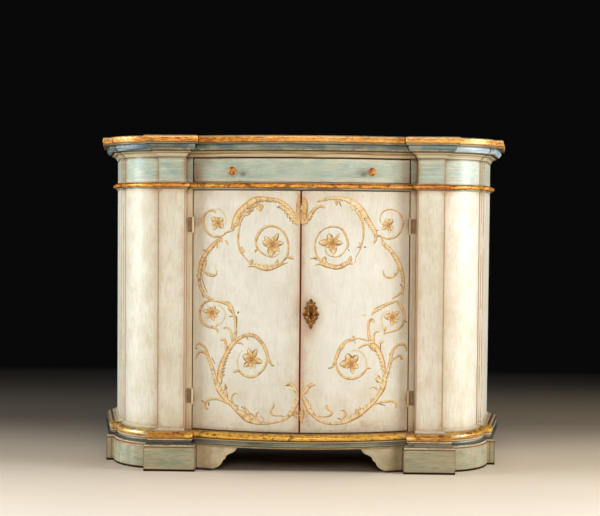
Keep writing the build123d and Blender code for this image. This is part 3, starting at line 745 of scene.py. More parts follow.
# ------------------------------------------------------------- scrollwork data
# Brush strokes of a plain traditional rinceau, listed one by one: kind, then points
# (x, z, width) in millimetres on the bowed door fronts; flowers are a centre
# and petals (angle, length, width, shaded edge).
SCROLL_LEFT = [
    ('s', [(-269.1, 800.0, 2.2), (-271.0, 805.9, 5.6), (-279.8, 809.3, 5.6), (-293.2, 805.0, 4.8), (-303.9, 793.5, 5.6), (-308.7, 778.4, 6.1), (-307.2, 762.8, 5.6), (-299.6, 746.7, 5.2), (-287.4, 733.9, 5.6), (-272.1, 726.8, 6.1), (-256.7, 727.1, 5.2), (-243.4, 731.4, 3.9), (-233.9, 737.7, 2.2)]),
    ('p', [(-275.8, 810.3, 1.7), (-261.2, 813.0, 2.6), (-247.1, 805.9, 3.0), (-238.0, 792.5, 3.5), (-235.2, 777.8, 3.5), (-237.0, 763.5, 1.7)]),
    ('s', [(-240.8, 738.1, 3.0), (-232.9, 740.8, 3.9), (-220.8, 745.1, 5.6), (-212.9, 754.8, 8.7), (-208.8, 768.5, 12.6), (-203.7, 783.3, 14.3), (-193.3, 800.1, 16.5), (-180.8, 813.6, 17.4), (-167.9, 824.5, 16.5), (-154.4, 833.8, 14.3), (-140.7, 840.4, 12.2)]),
    ('s', [(-163.1, 828.2, 18.9), (-146.4, 839.1, 17.5), (-125.5, 845.1, 13.3), (-99.6, 843.6, 10.5), (-74.7, 841.3, 9.1), (-53.8, 831.5, 9.1), (-37.1, 816.7, 9.8), (-23.3, 797.8, 10.5), (-9.4, 779.7, 9.1), (-2.7, 769.0, 4.2)]),
    ('l', [(-207.9, 756.1, 1.7), (-202.0, 763.9, 7.4), (-196.3, 773.8, 8.7), (-196.3, 783.3, 6.1), (-199.0, 789.7, 1.7)]),
    ('l', [(-191.1, 791.1, 1.7), (-182.8, 795.0, 6.5), (-172.9, 795.6, 7.4), (-161.9, 799.1, 5.2), (-157.3, 802.5, 1.3)]),
    ('l', [(-178.2, 805.4, 2.2), (-166.4, 806.8, 6.5), (-155.2, 808.6, 7.4), (-148.2, 811.3, 3.5), (-146.4, 813.9, 1.1)]),
    ('l', [(-158.7, 821.0, 2.2), (-148.3, 820.5, 6.5), (-141.3, 825.7, 6.5), (-137.7, 831.4, 2.2)]),
    ('l', [(-135.4, 828.8, 3.5), (-132.7, 819.9, 7.4), (-127.5, 811.4, 6.5), (-126.9, 805.3, 1.3)]),
    ('l', [(-121.2, 828.9, 3.5), (-120.6, 821.2, 6.1), (-123.6, 813.5, 4.3), (-125.6, 806.3, 1.3)]),
    ('l', [(-130.2, 831.4, 4.3), (-128.8, 818.6, 4.8), (-127.2, 806.3, 1.3)]),
    ('d', [(-144.5, 826.2, 1.1), (-149.6, 815.9, 1.7), (-152.6, 808.2, 0.9)]),
    ('d', [(-199.0, 789.7, 1.1), (-206.8, 775.5, 1.7), (-211.9, 761.2, 0.9)]),
    ('d', [(-180.7, 789.9, 1.1), (-186.0, 802.7, 1.5), (-178.2, 813.1, 0.9)]),
    ('l', [(-76.1, 819.7, 2.8), (-64.9, 820.6, 6.3), (-51.2, 816.6, 10.5), (-38.7, 804.3, 14.0), (-26.9, 788.7, 14.7), (-15.2, 775.5, 12.6), (-4.4, 767.4, 5.6)]),
    ('l', [(-6.0, 861.2, 2.8), (-7.5, 842.6, 7.0), (-9.8, 821.9, 9.1), (-8.8, 801.2, 9.1), (-5.3, 782.7, 7.7), (-1.9, 770.3, 3.5)]),
    ('h', [(-19.2, 809.4, 1.8), (-13.7, 797.1, 2.8), (-7.8, 784.7, 1.8)]),
    ('d', [(-42.0, 813.4, 1.4), (-29.5, 797.8, 2.1), (-16.1, 782.2, 1.4)]),
    ('s', [(-175.5, 796.4, 4.3), (-183.8, 784.2, 5.6), (-191.0, 766.6, 5.6), (-194.5, 745.9, 5.6), (-195.9, 725.3, 5.2), (-195.0, 707.2, 4.8), (-191.5, 690.5, 4.8), (-184.6, 676.9, 4.3), (-174.0, 663.7, 3.0), (-160.9, 648.9, 2.2)]),
    ('l', [(-185.8, 697.0, 1.3), (-182.1, 689.3, 5.6), (-178.6, 681.6, 6.5), (-183.8, 678.5, 3.0)]),
    ('l', [(-159.2, 638.1, 1.7), (-155.6, 645.9, 7.4), (-152.0, 651.6, 7.4), (-150.5, 657.6, 1.7)]),
    ('s', [(-163.4, 633.9, 2.2), (-154.0, 637.7, 7.4), (-141.8, 638.4, 8.7), (-127.5, 634.5, 12.2), (-109.3, 630.1, 13.5), (-92.5, 631.4, 12.2), (-77.1, 636.2, 9.6), (-61.7, 642.1, 6.1), (-49.6, 646.1, 3.9), (-39.8, 648.0, 1.3)]),
    ('h', [(-126.2, 636.0, 1.7), (-109.3, 634.2, 2.6), (-93.8, 636.0, 1.7)]),
    ('l', [(-75.8, 635.5, 2.2), (-74.5, 643.2, 7.4), (-72.8, 650.9, 6.5), (-71.8, 659.4, 1.3)]),
    ('s', [(-68.1, 638.1, 2.6), (-55.3, 653.7, 4.3), (-43.8, 665.4, 5.2), (-40.1, 678.3, 5.2), (-38.7, 696.3, 5.2), (-40.4, 714.2, 4.8), (-47.7, 733.4, 4.8), (-59.9, 749.4, 4.8), (-75.5, 758.8, 5.2), (-92.2, 761.7, 5.6), (-109.8, 758.2, 6.1), (-125.2, 746.2, 6.5), (-135.5, 729.9, 6.5), (-139.7, 711.8, 5.6), (-137.0, 697.2, 4.8), (-129.2, 686.0, 4.3), (-117.4, 676.1, 3.9), (-104.4, 668.8, 3.5), (-91.5, 665.9, 3.5), (-78.6, 668.6, 3.0), (-67.1, 678.0, 1.7)]),
    ('l', [(-43.1, 665.4, 2.6), (-33.5, 665.5, 6.1), (-24.0, 662.5, 5.2), (-19.9, 661.0, 1.3)]),
    ('d', [(-36.9, 661.9, 0.9), (-28.4, 659.9, 1.7), (-20.9, 660.0, 0.9)]),
    ('l', [(-135.7, 690.0, 2.2), (-139.5, 685.3, 5.6), (-142.1, 678.3, 1.7)]),
    ('l', [(-256.7, 727.1, 2.2), (-250.8, 719.9, 7.8), (-248.6, 713.7, 5.6), (-245.9, 707.8, 1.3)]),
    ('l', [(-249.2, 719.4, 2.6), (-259.3, 716.1, 7.4), (-264.6, 711.4, 6.5), (-265.6, 706.2, 1.3)]),
    ('s', [(-247.3, 720.7, 3.0), (-258.7, 713.5, 7.4), (-272.0, 704.0, 10.0), (-285.3, 689.7, 10.4), (-297.0, 673.9, 10.4), (-307.2, 657.3, 10.9), (-314.1, 638.8, 10.4), (-318.3, 619.2, 9.6), (-320.4, 599.5, 7.8), (-319.7, 579.9, 7.0), (-314.7, 564.4, 7.4), (-303.8, 547.0, 7.8), (-287.6, 533.4, 6.5), (-271.5, 529.2, 4.8)]),
    ('l', [(-238.0, 717.0, 1.7), (-232.7, 711.3, 4.3), (-227.9, 704.2, 3.5), (-226.3, 701.6, 0.9)]),
    ('d', [(-307.9, 684.6, 1.1), (-301.9, 682.7, 2.6), (-297.8, 678.3, 0.9)]),
    ('l', [(-288.4, 674.6, 1.7), (-282.6, 685.1, 4.8), (-274.6, 695.6, 3.9), (-267.2, 701.0, 1.1)]),
    ('l', [(-264.6, 711.4, 1.7), (-262.4, 701.0, 4.8), (-264.4, 689.3, 1.7)]),
    ('l', [(-301.8, 658.7, 1.7), (-299.0, 648.3, 5.6), (-300.0, 635.3, 3.9), (-302.1, 624.8, 1.3)]),
    ('s', [(-311.9, 632.4, 2.2), (-305.6, 619.0, 5.6), (-296.6, 610.8, 6.1), (-285.3, 605.7, 7.4), (-273.2, 604.1, 6.5), (-266.0, 606.9, 4.3), (-263.4, 614.8, 3.0), (-262.4, 622.6, 1.3)]),
    ('d', [(-291.2, 604.2, 0.9), (-280.5, 601.4, 1.7), (-269.2, 603.2, 0.9)]),
    ('h', [(-303.9, 564.7, 1.1), (-298.5, 553.1, 2.0), (-290.3, 541.6, 1.1)]),
    ('d', [(-311.8, 611.5, 1.1), (-309.5, 590.7, 1.5), (-301.2, 567.4, 1.5), (-293.0, 549.4, 0.9)]),
    ('l', [(-331.3, 604.4, 1.1), (-325.3, 602.8, 4.3), (-319.8, 598.2, 1.7)]),
    ('d', [(-311.4, 546.2, 1.1), (-305.1, 535.9, 2.0), (-302.4, 533.4, 0.9)]),
    ('s', [(-223.5, 509.5, 3.5), (-235.4, 517.8, 6.1), (-250.1, 522.5, 5.6), (-266.1, 524.6, 5.2), (-282.2, 526.2, 5.2), (-296.1, 522.1, 5.2), (-309.0, 510.1, 5.6), (-316.3, 495.2, 5.6), (-318.1, 478.9, 5.6), (-314.2, 463.9, 5.6), (-303.3, 451.2, 6.1), (-289.2, 443.5, 6.5), (-273.6, 441.5, 6.5), (-263.9, 437.7, 5.6), (-259.6, 430.3, 3.9), (-257.4, 422.5, 1.3)]),
    ('p', [(-259.3, 512.4, 1.7), (-244.1, 503.7, 2.6), (-235.2, 489.7, 3.0), (-236.5, 475.3, 3.0), (-243.8, 460.8, 2.6), (-254.9, 448.7, 1.3)]),
    ('l', [(-268.2, 441.7, 1.7), (-261.6, 448.4, 3.9), (-259.0, 455.0, 1.1)]),
    ('s', [(-247.4, 520.5, 3.0), (-231.5, 520.5, 7.4), (-220.8, 513.0, 10.0), (-214.2, 500.7, 8.3), (-208.8, 486.6, 6.5), (-204.2, 471.2, 6.1), (-201.4, 451.8, 6.1), (-200.8, 432.3, 6.5), (-203.8, 415.3, 7.4)]),
    ('d', [(-231.5, 521.0, 1.1), (-220.8, 514.0, 2.0), (-210.2, 499.5, 1.3), (-206.2, 490.6, 0.7)]),
    ('d', [(-223.2, 475.8, 1.7), (-217.4, 478.3, 2.6), (-210.1, 478.0, 0.9)]),
    ('l', [(-227.4, 502.9, 1.3), (-220.7, 497.9, 5.2), (-214.1, 490.3, 4.3), (-208.7, 480.1, 1.3)]),
    ('k', [(-199.0, 480.4, 2.0), (-198.4, 464.8, 2.6), (-198.8, 446.7, 2.6), (-199.2, 427.2, 1.3)]),
    ('k', [(-196.9, 486.9, 1.3), (-193.3, 490.9, 3.9), (-191.2, 493.6, 1.3)]),
    ('h', [(-194.3, 483.1, 1.1), (-194.2, 467.6, 1.7), (-194.6, 452.0, 0.9)]),
    ('s', [(-239.4, 437.0, 1.7), (-236.3, 442.3, 3.9), (-228.3, 443.1, 4.8), (-220.3, 436.6, 5.6), (-215.5, 424.0, 6.1), (-212.8, 409.8, 6.5), (-210.6, 398.2, 5.6)]),
    ('d', [(-238.4, 438.9, 1.1), (-232.0, 443.5, 1.7), (-224.3, 440.6, 1.1)]),
    ('s', [(-251.4, 401.6, 3.0), (-244.0, 405.0, 6.1), (-236.6, 403.8, 6.1), (-232.8, 393.5, 6.1), (-231.6, 380.5, 6.1), (-233.7, 367.4, 4.3)]),
    ('k', [(-232.8, 393.5, 1.1), (-227.4, 383.3, 2.0), (-222.6, 373.0, 2.0), (-229.1, 357.2, 2.0), (-237.8, 343.2, 1.1)]),
    ('s', [(-251.7, 271.3, 8.7), (-250.8, 293.6, 15.2), (-247.2, 317.3, 14.3), (-239.9, 338.5, 12.6), (-230.4, 358.4, 10.4), (-220.0, 378.4, 10.0), (-206.9, 397.0, 9.6), (-191.2, 410.0, 7.8), (-174.2, 418.3, 7.4), (-155.9, 422.0, 8.3), (-140.2, 418.2, 8.7), (-125.8, 406.7, 8.3), (-113.2, 390.7, 7.8), (-105.3, 373.5, 7.4), (-100.0, 356.1, 7.0), (-93.6, 340.2, 5.6), (-86.3, 329.0, 4.3), (-79.6, 326.3, 1.3)]),
    ('k', [(-86.8, 331.0, 1.1), (-82.7, 328.0, 2.6), (-78.5, 327.6, 1.1)]),
    ('l', [(-167.6, 416.5, 1.7), (-161.1, 423.1, 5.6), (-158.3, 429.2, 1.3)]),
    ('l', [(-168.9, 419.0, 1.7), (-165.5, 412.6, 5.6), (-162.8, 404.7, 1.3)]),
    ('d', [(-204.4, 415.3, 1.3), (-203.0, 407.6, 1.3)]),
    ('l', [(-204.2, 395.8, 3.5), (-192.4, 397.0, 5.6), (-181.9, 394.0, 4.3), (-175.8, 388.2, 1.1)]),
    ('s', [(-103.6, 350.8, 2.6), (-104.0, 335.3, 5.2), (-112.2, 318.0, 5.6), (-125.0, 303.1, 5.6), (-139.3, 293.3, 6.1), (-154.2, 289.7, 6.1), (-169.4, 293.1, 5.6), (-183.1, 300.4, 5.2), (-189.9, 307.7, 4.8), (-200.5, 306.7, 7.0), (-208.9, 302.8, 2.2)]),
    ('p', [(-190.0, 308.7, 2.2), (-194.5, 324.7, 2.6), (-194.9, 341.6, 2.6), (-189.3, 360.0, 2.2), (-180.9, 371.9, 1.3)]),
    ('d', [(-156.2, 288.3, 1.1), (-140.6, 290.7, 1.5), (-125.0, 300.5, 1.1)]),
    ('d', [(-104.6, 350.8, 1.7), (-103.0, 346.2, 1.7)]),
    ('s', [(-258.5, 246.1, 7.8), (-261.8, 264.3, 9.6), (-266.2, 282.4, 9.6), (-271.7, 300.4, 9.1), (-277.1, 317.1, 8.3), (-283.2, 332.5, 7.8), (-288.6, 346.7, 7.0), (-292.5, 362.2, 5.6), (-298.5, 375.0, 5.2), (-308.8, 385.0, 5.6), (-318.6, 389.2, 5.2), (-326.2, 386.2, 3.9), (-330.0, 377.4, 2.6), (-330.5, 370.8, 1.1)]),
    ('s', [(-287.8, 346.7, 3.9), (-295.1, 356.3, 5.6), (-305.5, 362.1, 5.6), (-316.3, 362.1, 5.2), (-323.9, 355.9, 4.8), (-326.6, 347.3, 3.5), (-326.3, 338.9, 1.1)]),
    ('k', [(-331.6, 373.3, 1.3), (-328.3, 371.9, 3.5), (-325.6, 370.5, 1.3)]),
    ('d', [(-316.4, 384.6, 0.9), (-305.6, 379.9, 1.5), (-297.9, 369.8, 1.1)]),
    ('d', [(-278.4, 347.2, 1.3), (-271.6, 335.7, 2.0), (-267.5, 325.5, 1.1)]),
    ('h', [(-253.9, 284.3, 2.6), (-251.2, 276.6, 5.6), (-248.5, 270.2, 2.6)]),
    ('k', [(-246.4, 278.1, 1.1), (-244.5, 270.4, 2.0), (-248.4, 262.9, 1.1)]),
    ('s', [(-253.9, 277.7, 6.5), (-256.9, 256.7, 12.2), (-251.0, 241.3, 14.3), (-239.7, 226.7, 12.6), (-226.3, 211.7, 11.3), (-210.8, 198.4, 10.0), (-195.4, 182.6, 10.0), (-180.3, 171.1, 14.3), (-163.2, 159.3, 17.4), (-147.4, 151.6, 13.0), (-126.5, 146.7, 8.7), (-100.5, 146.5, 6.5), (-74.6, 151.4, 6.1), (-54.4, 157.6, 6.5), (-38.5, 166.2, 7.4), (-25.2, 179.4, 9.6), (-16.0, 198.5, 11.3), (-8.4, 216.7, 10.0), (-0.3, 231.6, 5.6)]),
    ('h', [(-29.5, 178.8, 1.3), (-22.7, 194.5, 3.5), (-15.6, 212.7, 2.2), (-10.0, 223.2, 0.9)]),
    ('l', [(-240.3, 241.8, 2.2), (-233.7, 252.6, 5.6), (-233.0, 260.5, 4.3), (-235.1, 266.1, 1.1)]),
    ('k', [(-234.3, 265.1, 1.1), (-229.8, 255.4, 2.0), (-228.1, 247.1, 0.9)]),
    ('k', [(-230.7, 239.7, 1.1), (-226.4, 229.5, 2.0), (-225.6, 221.7, 0.9)]),
    ('l', [(-234.9, 223.8, 1.7), (-229.1, 231.9, 5.6), (-229.7, 241.0, 3.9), (-231.8, 244.9, 1.1)]),
    ('s', [(-194.7, 235.1, 1.3), (-201.1, 237.9, 3.5), (-208.4, 234.0, 4.3), (-213.1, 225.4, 4.8), (-214.1, 214.9, 4.8), (-208.2, 202.1, 4.3)]),
    ('d', [(-194.2, 236.2, 1.1), (-203.2, 237.8, 1.7), (-211.1, 230.2, 1.1)]),
    ('k', [(-200.8, 201.4, 1.1), (-195.0, 197.0, 2.0), (-192.3, 193.2, 0.9)]),
    ('s', [(-217.2, 200.7, 4.3), (-229.5, 207.4, 6.5), (-245.5, 213.8, 6.1), (-261.5, 216.1, 6.1), (-276.3, 215.3, 6.1), (-289.7, 211.8, 6.1), (-296.9, 201.9, 5.6), (-298.0, 190.3, 5.6), (-293.1, 183.2, 5.2), (-287.7, 187.3, 1.7)]),
    ('k', [(-285.1, 205.8, 1.1), (-287.2, 198.6, 2.6), (-285.0, 192.7, 1.1)]),
    ('k', [(-310.5, 208.9, 1.1), (-307.3, 206.5, 2.6), (-304.0, 205.1, 0.9)]),
    ('l', [(-309.4, 205.8, 1.1), (-301.8, 203.7, 3.9), (-296.4, 200.6, 1.7)]),
    ('l', [(-183.1, 194.9, 1.7), (-173.9, 192.7, 5.6), (-166.0, 185.2, 7.4), (-159.4, 175.1, 7.0), (-152.8, 164.4, 3.5)]),
    ('k', [(-182.4, 197.1, 1.1), (-170.0, 192.4, 2.0), (-162.0, 181.5, 2.0), (-155.9, 168.7, 1.1)]),
    ('l', [(-152.8, 178.0, 1.3), (-144.9, 170.5, 4.8), (-141.0, 162.8, 2.6)]),
    ('k', [(-154.2, 177.4, 1.1), (-148.1, 171.9, 2.0), (-143.6, 166.6, 0.9)]),
    ('s', [(-126.2, 182.0, 1.3), (-132.0, 178.7, 3.5), (-136.6, 170.8, 4.8), (-135.0, 161.7, 5.6), (-127.9, 152.9, 5.2)]),
    ('k', [(-126.2, 181.0, 1.1), (-132.5, 177.2, 2.0), (-138.2, 170.2, 1.1)]),
    ('l', [(-117.5, 168.8, 1.3), (-113.6, 161.2, 4.3), (-110.9, 153.4, 1.7)]),
    ('s', [(-80.2, 212.5, 1.3), (-80.7, 201.1, 3.9), (-87.8, 191.0, 4.8), (-89.3, 182.2, 4.8), (-82.5, 174.0, 4.8), (-70.8, 171.7, 3.9), (-57.9, 171.5, 3.0), (-43.6, 167.7, 2.6)]),
    ('l', [(-4.2, 238.8, 3.0), (-10.8, 249.1, 7.8), (-16.5, 260.6, 8.7), (-25.1, 270.1, 7.8), (-35.5, 271.5, 5.6), (-46.5, 265.3, 1.7)]),
    ('k', [(-45.0, 268.7, 1.1), (-36.7, 265.7, 2.0), (-29.0, 269.5, 1.1)]),
    ('h', [(-36.7, 262.9, 1.1), (-26.3, 259.7, 3.0), (-18.0, 251.5, 1.1)]),
    ('l', [(-23.0, 172.4, 1.7), (-16.4, 176.4, 5.6), (-11.1, 171.3, 5.2), (-8.0, 163.6, 1.3)]),
    ('l', [(-18.0, 186.8, 1.7), (-10.7, 184.3, 5.2), (-5.5, 178.7, 3.9), (-2.4, 171.4, 1.1)]),
    ('k', [(-10.5, 216.7, 1.1), (-14.2, 197.2, 1.7), (-25.6, 175.0, 1.1)]),
    ('k', [(-38.5, 165.7, 1.1), (-30.8, 174.9, 2.2), (-27.8, 182.7, 0.9)]),
]
SCROLL_RIGHT = [
    ('l', [(2.0, 768.2, 2.8), (10.9, 772.4, 7.2), (19.7, 781.4, 9.9), (27.1, 793.7, 10.3), (34.5, 805.9, 8.7), (42.9, 815.4, 6.8), (54.5, 822.0, 6.0), (65.1, 823.5, 6.8), (71.4, 819.8, 4.4), (70.5, 816.6, 1.2)]),
    ('l', [(6.2, 852.7, 3.8), (12.5, 832.9, 12.8), (10.1, 812.9, 16.5), (6.7, 790.7, 13.5), (3.4, 768.5, 5.3)]),
    ('h', [(10.2, 800.6, 1.2), (14.5, 791.2, 2.8), (12.2, 781.4, 1.2)]),
    ('d', [(19.4, 812.4, 1.0), (14.9, 795.9, 2.0), (9.2, 779.5, 1.0)]),
    ('k', [(6.1, 786.5, 1.0), (7.5, 783.7, 2.4), (8.9, 781.3, 0.8)]),
    ('l', [(5.0, 751.3, 1.6), (6.4, 744.3, 4.0), (6.0, 738.4, 1.0)]),
    ('s', [(49.7, 837.2, 3.0), (60.8, 842.6, 6.0), (80.7, 847.2, 6.8), (107.3, 850.1, 7.5), (129.5, 847.7, 9.8), (151.9, 839.9, 15.0), (172.1, 826.8, 17.3), (189.7, 809.2, 15.0), (203.4, 788.8, 12.8), (215.3, 769.3, 11.3), (226.3, 751.5, 9.8), (232.8, 735.4, 8.3), (232.0, 720.3, 6.0), (225.9, 708.6, 2.3)]),
    ('l', [(106.4, 844.8, 3.0), (109.7, 833.7, 6.0), (108.4, 826.2, 1.9)]),
    ('k', [(115.4, 841.3, 1.1), (120.8, 832.5, 2.3), (124.4, 821.9, 1.1)]),
    ('h', [(122.5, 836.7, 1.2), (136.6, 834.5, 2.8), (153.2, 825.3, 2.8), (167.4, 816.0, 1.2)]),
    ('l', [(148.4, 829.9, 2.0), (156.7, 823.0, 6.4), (158.0, 814.7, 6.0), (155.2, 810.0, 1.2)]),
    ('l', [(165.1, 818.3, 2.0), (172.2, 809.0, 6.8), (179.4, 800.8, 5.6), (183.0, 797.3, 1.2)]),
    ('d', [(191.1, 811.5, 1.0), (202.0, 792.8, 2.0), (210.6, 771.6, 1.2)]),
    ('k', [(205.7, 778.7, 1.0), (209.4, 772.8, 2.4), (211.1, 769.3, 1.0)]),
    ('d', [(232.2, 750.5, 1.6), (237.5, 750.1, 3.2), (240.3, 751.0, 1.2)]),
    ('s', [(173.7, 802.0, 2.4), (181.8, 795.9, 5.6), (188.1, 782.8, 5.2), (192.6, 765.6, 5.2), (194.2, 746.8, 4.8), (193.4, 729.1, 4.4), (190.3, 712.6, 4.0), (187.1, 702.0, 3.6), (183.0, 689.0, 2.4), (176.5, 676.0, 2.0), (170.9, 664.2, 1.6), (167.3, 648.9, 1.0)]),
    ('l', [(187.1, 703.1, 1.6), (182.4, 700.3, 5.2), (176.2, 697.9, 4.0), (173.4, 698.8, 1.0)]),
    ('k', [(195.2, 698.9, 1.2), (199.5, 698.0, 3.6), (203.0, 697.5, 1.2)]),
    ('l', [(185.2, 705.5, 1.2), (181.8, 710.2, 3.6), (178.4, 712.5, 1.0)]),
    ('s', [(43.5, 640.7, 1.2), (53.8, 644.6, 4.4), (64.3, 646.5, 8.7), (76.1, 643.3, 12.3), (91.4, 638.7, 11.1), (109.1, 634.5, 10.3), (125.6, 637.9, 11.1), (139.7, 646.0, 10.3), (150.2, 649.8, 8.7), (158.5, 647.0, 6.0), (162.6, 642.2, 1.6)]),
    ('l', [(72.6, 643.8, 3.2), (73.0, 655.5, 11.1), (73.6, 663.8, 8.0), (75.6, 669.2, 1.6)]),
    ('l', [(150.3, 647.4, 2.8), (151.6, 657.1, 8.7), (153.9, 665.3, 6.8), (155.7, 671.2, 1.2)]),
    ('d', [(84.3, 643.8, 1.0), (103.2, 641.1, 1.8), (124.4, 641.2, 2.4), (130.3, 642.6, 0.8)]),
    ('h', [(89.1, 636.8, 1.0), (107.9, 636.0, 2.0), (124.4, 639.3, 1.0)]),
    ('l', [(64.3, 648.4, 2.8), (58.8, 658.7, 6.0), (51.2, 665.7, 5.2), (40.7, 664.2, 4.4), (30.2, 660.9, 1.2)]),
    ('k', [(29.7, 662.7, 1.0), (40.7, 662.4, 2.4), (50.9, 656.3, 1.0)]),
    ('s', [(57.2, 657.8, 2.0), (50.0, 670.7, 3.6), (44.7, 688.2, 4.0), (43.4, 704.7, 4.0), (47.0, 723.0, 4.0), (56.7, 740.9, 4.0), (71.6, 754.2, 4.0), (89.1, 760.4, 4.0), (107.9, 761.0, 4.0), (123.7, 755.5, 4.4), (134.7, 742.9, 4.8), (141.9, 726.9, 4.8), (145.8, 711.2, 5.2), (144.1, 697.8, 5.6), (138.5, 690.7, 2.8), (135.7, 686.9, 1.0)]),
    ('s', [(74.0, 693.1, 1.2), (78.8, 681.4, 3.2), (88.8, 672.6, 3.6), (102.9, 668.6, 3.2), (117.0, 669.4, 3.2), (128.7, 676.5, 3.2), (136.9, 686.9, 2.4), (139.2, 693.5, 1.0)]),
    ('d', [(123.2, 756.9, 0.8), (135.1, 745.2, 1.4), (142.9, 726.5, 1.0)]),
    ('k', [(147.0, 690.0, 1.2), (148.9, 688.4, 2.8), (150.3, 686.5, 1.0)]),
    ('s', [(232.8, 737.5, 1.6), (242.0, 734.0, 4.4), (255.2, 729.4, 4.8), (271.3, 725.1, 5.2), (288.9, 729.0, 5.6), (304.4, 741.4, 5.6), (315.2, 757.6, 5.2), (317.6, 774.7, 4.4), (314.0, 792.5, 4.0), (304.2, 807.3, 3.6), (289.1, 814.8, 3.6), (272.7, 816.0, 3.6), (257.9, 810.7, 3.2), (248.4, 799.8, 2.8), (245.2, 787.0, 2.8), (248.2, 773.1, 1.6)]),
    ('k', [(290.1, 725.2, 1.0), (304.5, 736.1, 1.8), (312.9, 746.2, 0.8)]),
    ('l', [(251.1, 727.0, 1.6), (254.1, 716.3, 6.0), (258.6, 705.7, 6.8), (263.9, 698.6, 4.8), (266.4, 690.3, 1.2)]),
    ('s', [(256.6, 712.8, 2.4), (266.3, 703.3, 7.2), (278.4, 691.5, 8.4), (289.5, 676.8, 9.1), (299.3, 661.1, 9.9), (308.5, 643.9, 8.7), (315.5, 627.2, 8.0), (320.6, 608.1, 7.6), (322.3, 589.0, 7.2), (320.6, 572.3, 6.8), (318.8, 558.0, 6.4), (319.9, 545.6, 2.8)]),
    ('k', [(272.3, 698.6, 1.2), (276.5, 697.2, 3.2), (278.9, 693.9, 1.0)]),
    ('l', [(261.5, 703.3, 1.2), (264.9, 696.2, 4.4), (264.0, 689.1, 1.2)]),
    ('s', [(298.1, 660.6, 2.0), (304.1, 643.9, 5.6), (304.8, 630.8, 6.0), (301.0, 619.0, 6.0), (291.5, 608.8, 6.4), (279.5, 604.1, 6.0), (267.4, 605.6, 4.8), (260.1, 612.1, 3.6), (257.6, 621.6, 2.8), (258.0, 628.7, 1.0)]),
    ('d', [(301.8, 655.8, 1.0), (304.7, 639.2, 1.8), (302.9, 622.5, 1.0)]),
    ('d', [(267.4, 602.3, 1.0), (279.5, 600.3, 1.6), (291.5, 604.5, 0.8)]),
    ('k', [(311.7, 582.0, 1.2), (313.6, 580.0, 2.8), (315.1, 577.6, 1.0)]),
    ('l', [(318.7, 560.4, 1.6), (311.5, 554.6, 5.2), (301.9, 546.3, 4.8), (292.3, 541.2, 3.6), (287.5, 534.6, 1.2)]),
    ('s', [(308.1, 530.9, 2.2), (304.2, 525.3, 4.8), (314.2, 514.2, 6.1), (322.3, 499.7, 6.5), (326.3, 482.6, 6.5), (324.9, 465.7, 6.1), (318.4, 450.9, 5.6), (306.0, 440.7, 5.6), (289.4, 434.8, 5.2), (273.6, 431.5, 4.3), (263.3, 427.0, 2.6), (261.8, 422.9, 0.9)]),
    ('k', [(329.7, 466.9, 1.1), (332.9, 463.6, 2.6), (334.6, 461.5, 0.9)]),
    ('p', [(274.1, 499.2, 1.3), (261.5, 494.1, 3.0), (254.8, 482.5, 3.5), (254.5, 465.7, 3.5), (257.9, 447.4, 3.5), (262.2, 433.0, 2.6), (263.3, 427.0, 1.3)]),
    ('l', [(262.3, 429.1, 1.7), (265.8, 442.1, 4.3), (268.1, 451.1, 1.7)]),
    ('s', [(304.1, 531.3, 2.6), (289.6, 526.0, 5.6), (273.9, 521.0, 6.5), (258.7, 514.4, 7.4), (245.1, 506.8, 8.3), (232.6, 499.7, 7.8), (225.7, 492.5, 5.2), (221.8, 484.2, 1.7)]),
    ('k', [(232.1, 505.4, 1.1), (245.1, 512.0, 2.4), (260.7, 518.8, 1.1)]),
    ('k', [(234.8, 497.1, 1.1), (242.6, 501.6, 2.0), (250.4, 506.2, 0.9)]),
    ('s', [(229.8, 472.2, 1.7), (223.3, 473.3, 5.2), (215.2, 467.4, 6.1), (212.3, 453.2, 5.6), (212.4, 436.4, 6.1), (214.7, 419.5, 6.5), (219.1, 403.8, 7.4)]),
    ('l', [(223.4, 463.5, 1.3), (228.6, 466.5, 3.9), (231.1, 471.2, 1.1)]),
    ('p', [(193.2, 487.6, 1.3), (200.5, 486.5, 4.3), (205.7, 484.4, 1.3)]),
    ('s', [(248.5, 434.6, 1.7), (242.0, 435.2, 4.8), (234.4, 432.7, 4.8), (230.9, 424.4, 4.8), (229.9, 411.5, 5.2), (230.1, 398.5, 5.6)]),
    ('l', [(262.5, 404.7, 1.7), (256.8, 403.2, 6.5), (251.0, 400.2, 5.6), (248.5, 393.0, 1.7)]),
    ('k', [(251.6, 398.1, 1.1), (251.2, 385.1, 2.2), (252.4, 370.8, 1.1)]),
    ('s', [(263.7, 304.0, 5.2), (261.9, 322.3, 10.4), (257.5, 342.0, 11.7), (251.5, 359.1, 12.2), (242.6, 376.2, 13.9), (232.0, 386.8, 17.4), (221.5, 392.1, 13.0), (215.0, 395.6, 4.3)]),
    ('l', [(214.9, 404.4, 2.2), (207.0, 407.9, 3.5), (194.0, 412.0, 3.9), (179.7, 414.2, 3.5), (171.9, 413.2, 1.3)]),
    ('s', [(220.2, 393.4, 5.2), (209.8, 394.9, 4.8), (198.1, 392.5, 5.2), (187.7, 387.1, 4.8), (181.8, 381.0, 1.3)]),
    ('s', [(175.8, 413.2, 2.2), (165.4, 409.6, 5.6), (149.9, 406.6, 8.3), (135.8, 397.4, 8.7), (125.6, 384.0, 8.3), (118.3, 368.5, 7.8), (112.8, 353.0, 7.4), (108.8, 339.6, 6.5), (101.7, 327.2, 5.6), (94.0, 321.5, 3.5), (88.3, 319.4, 1.1)]),
    ('l', [(171.9, 412.2, 1.7), (167.4, 417.9, 5.2), (163.8, 422.1, 1.3)]),
    ('k', [(96.5, 324.6, 1.3), (91.4, 321.0, 2.6), (87.8, 320.0, 1.1)]),
    ('l', [(168.1, 404.4, 1.7), (171.2, 401.3, 3.0), (171.3, 398.2, 0.9)]),
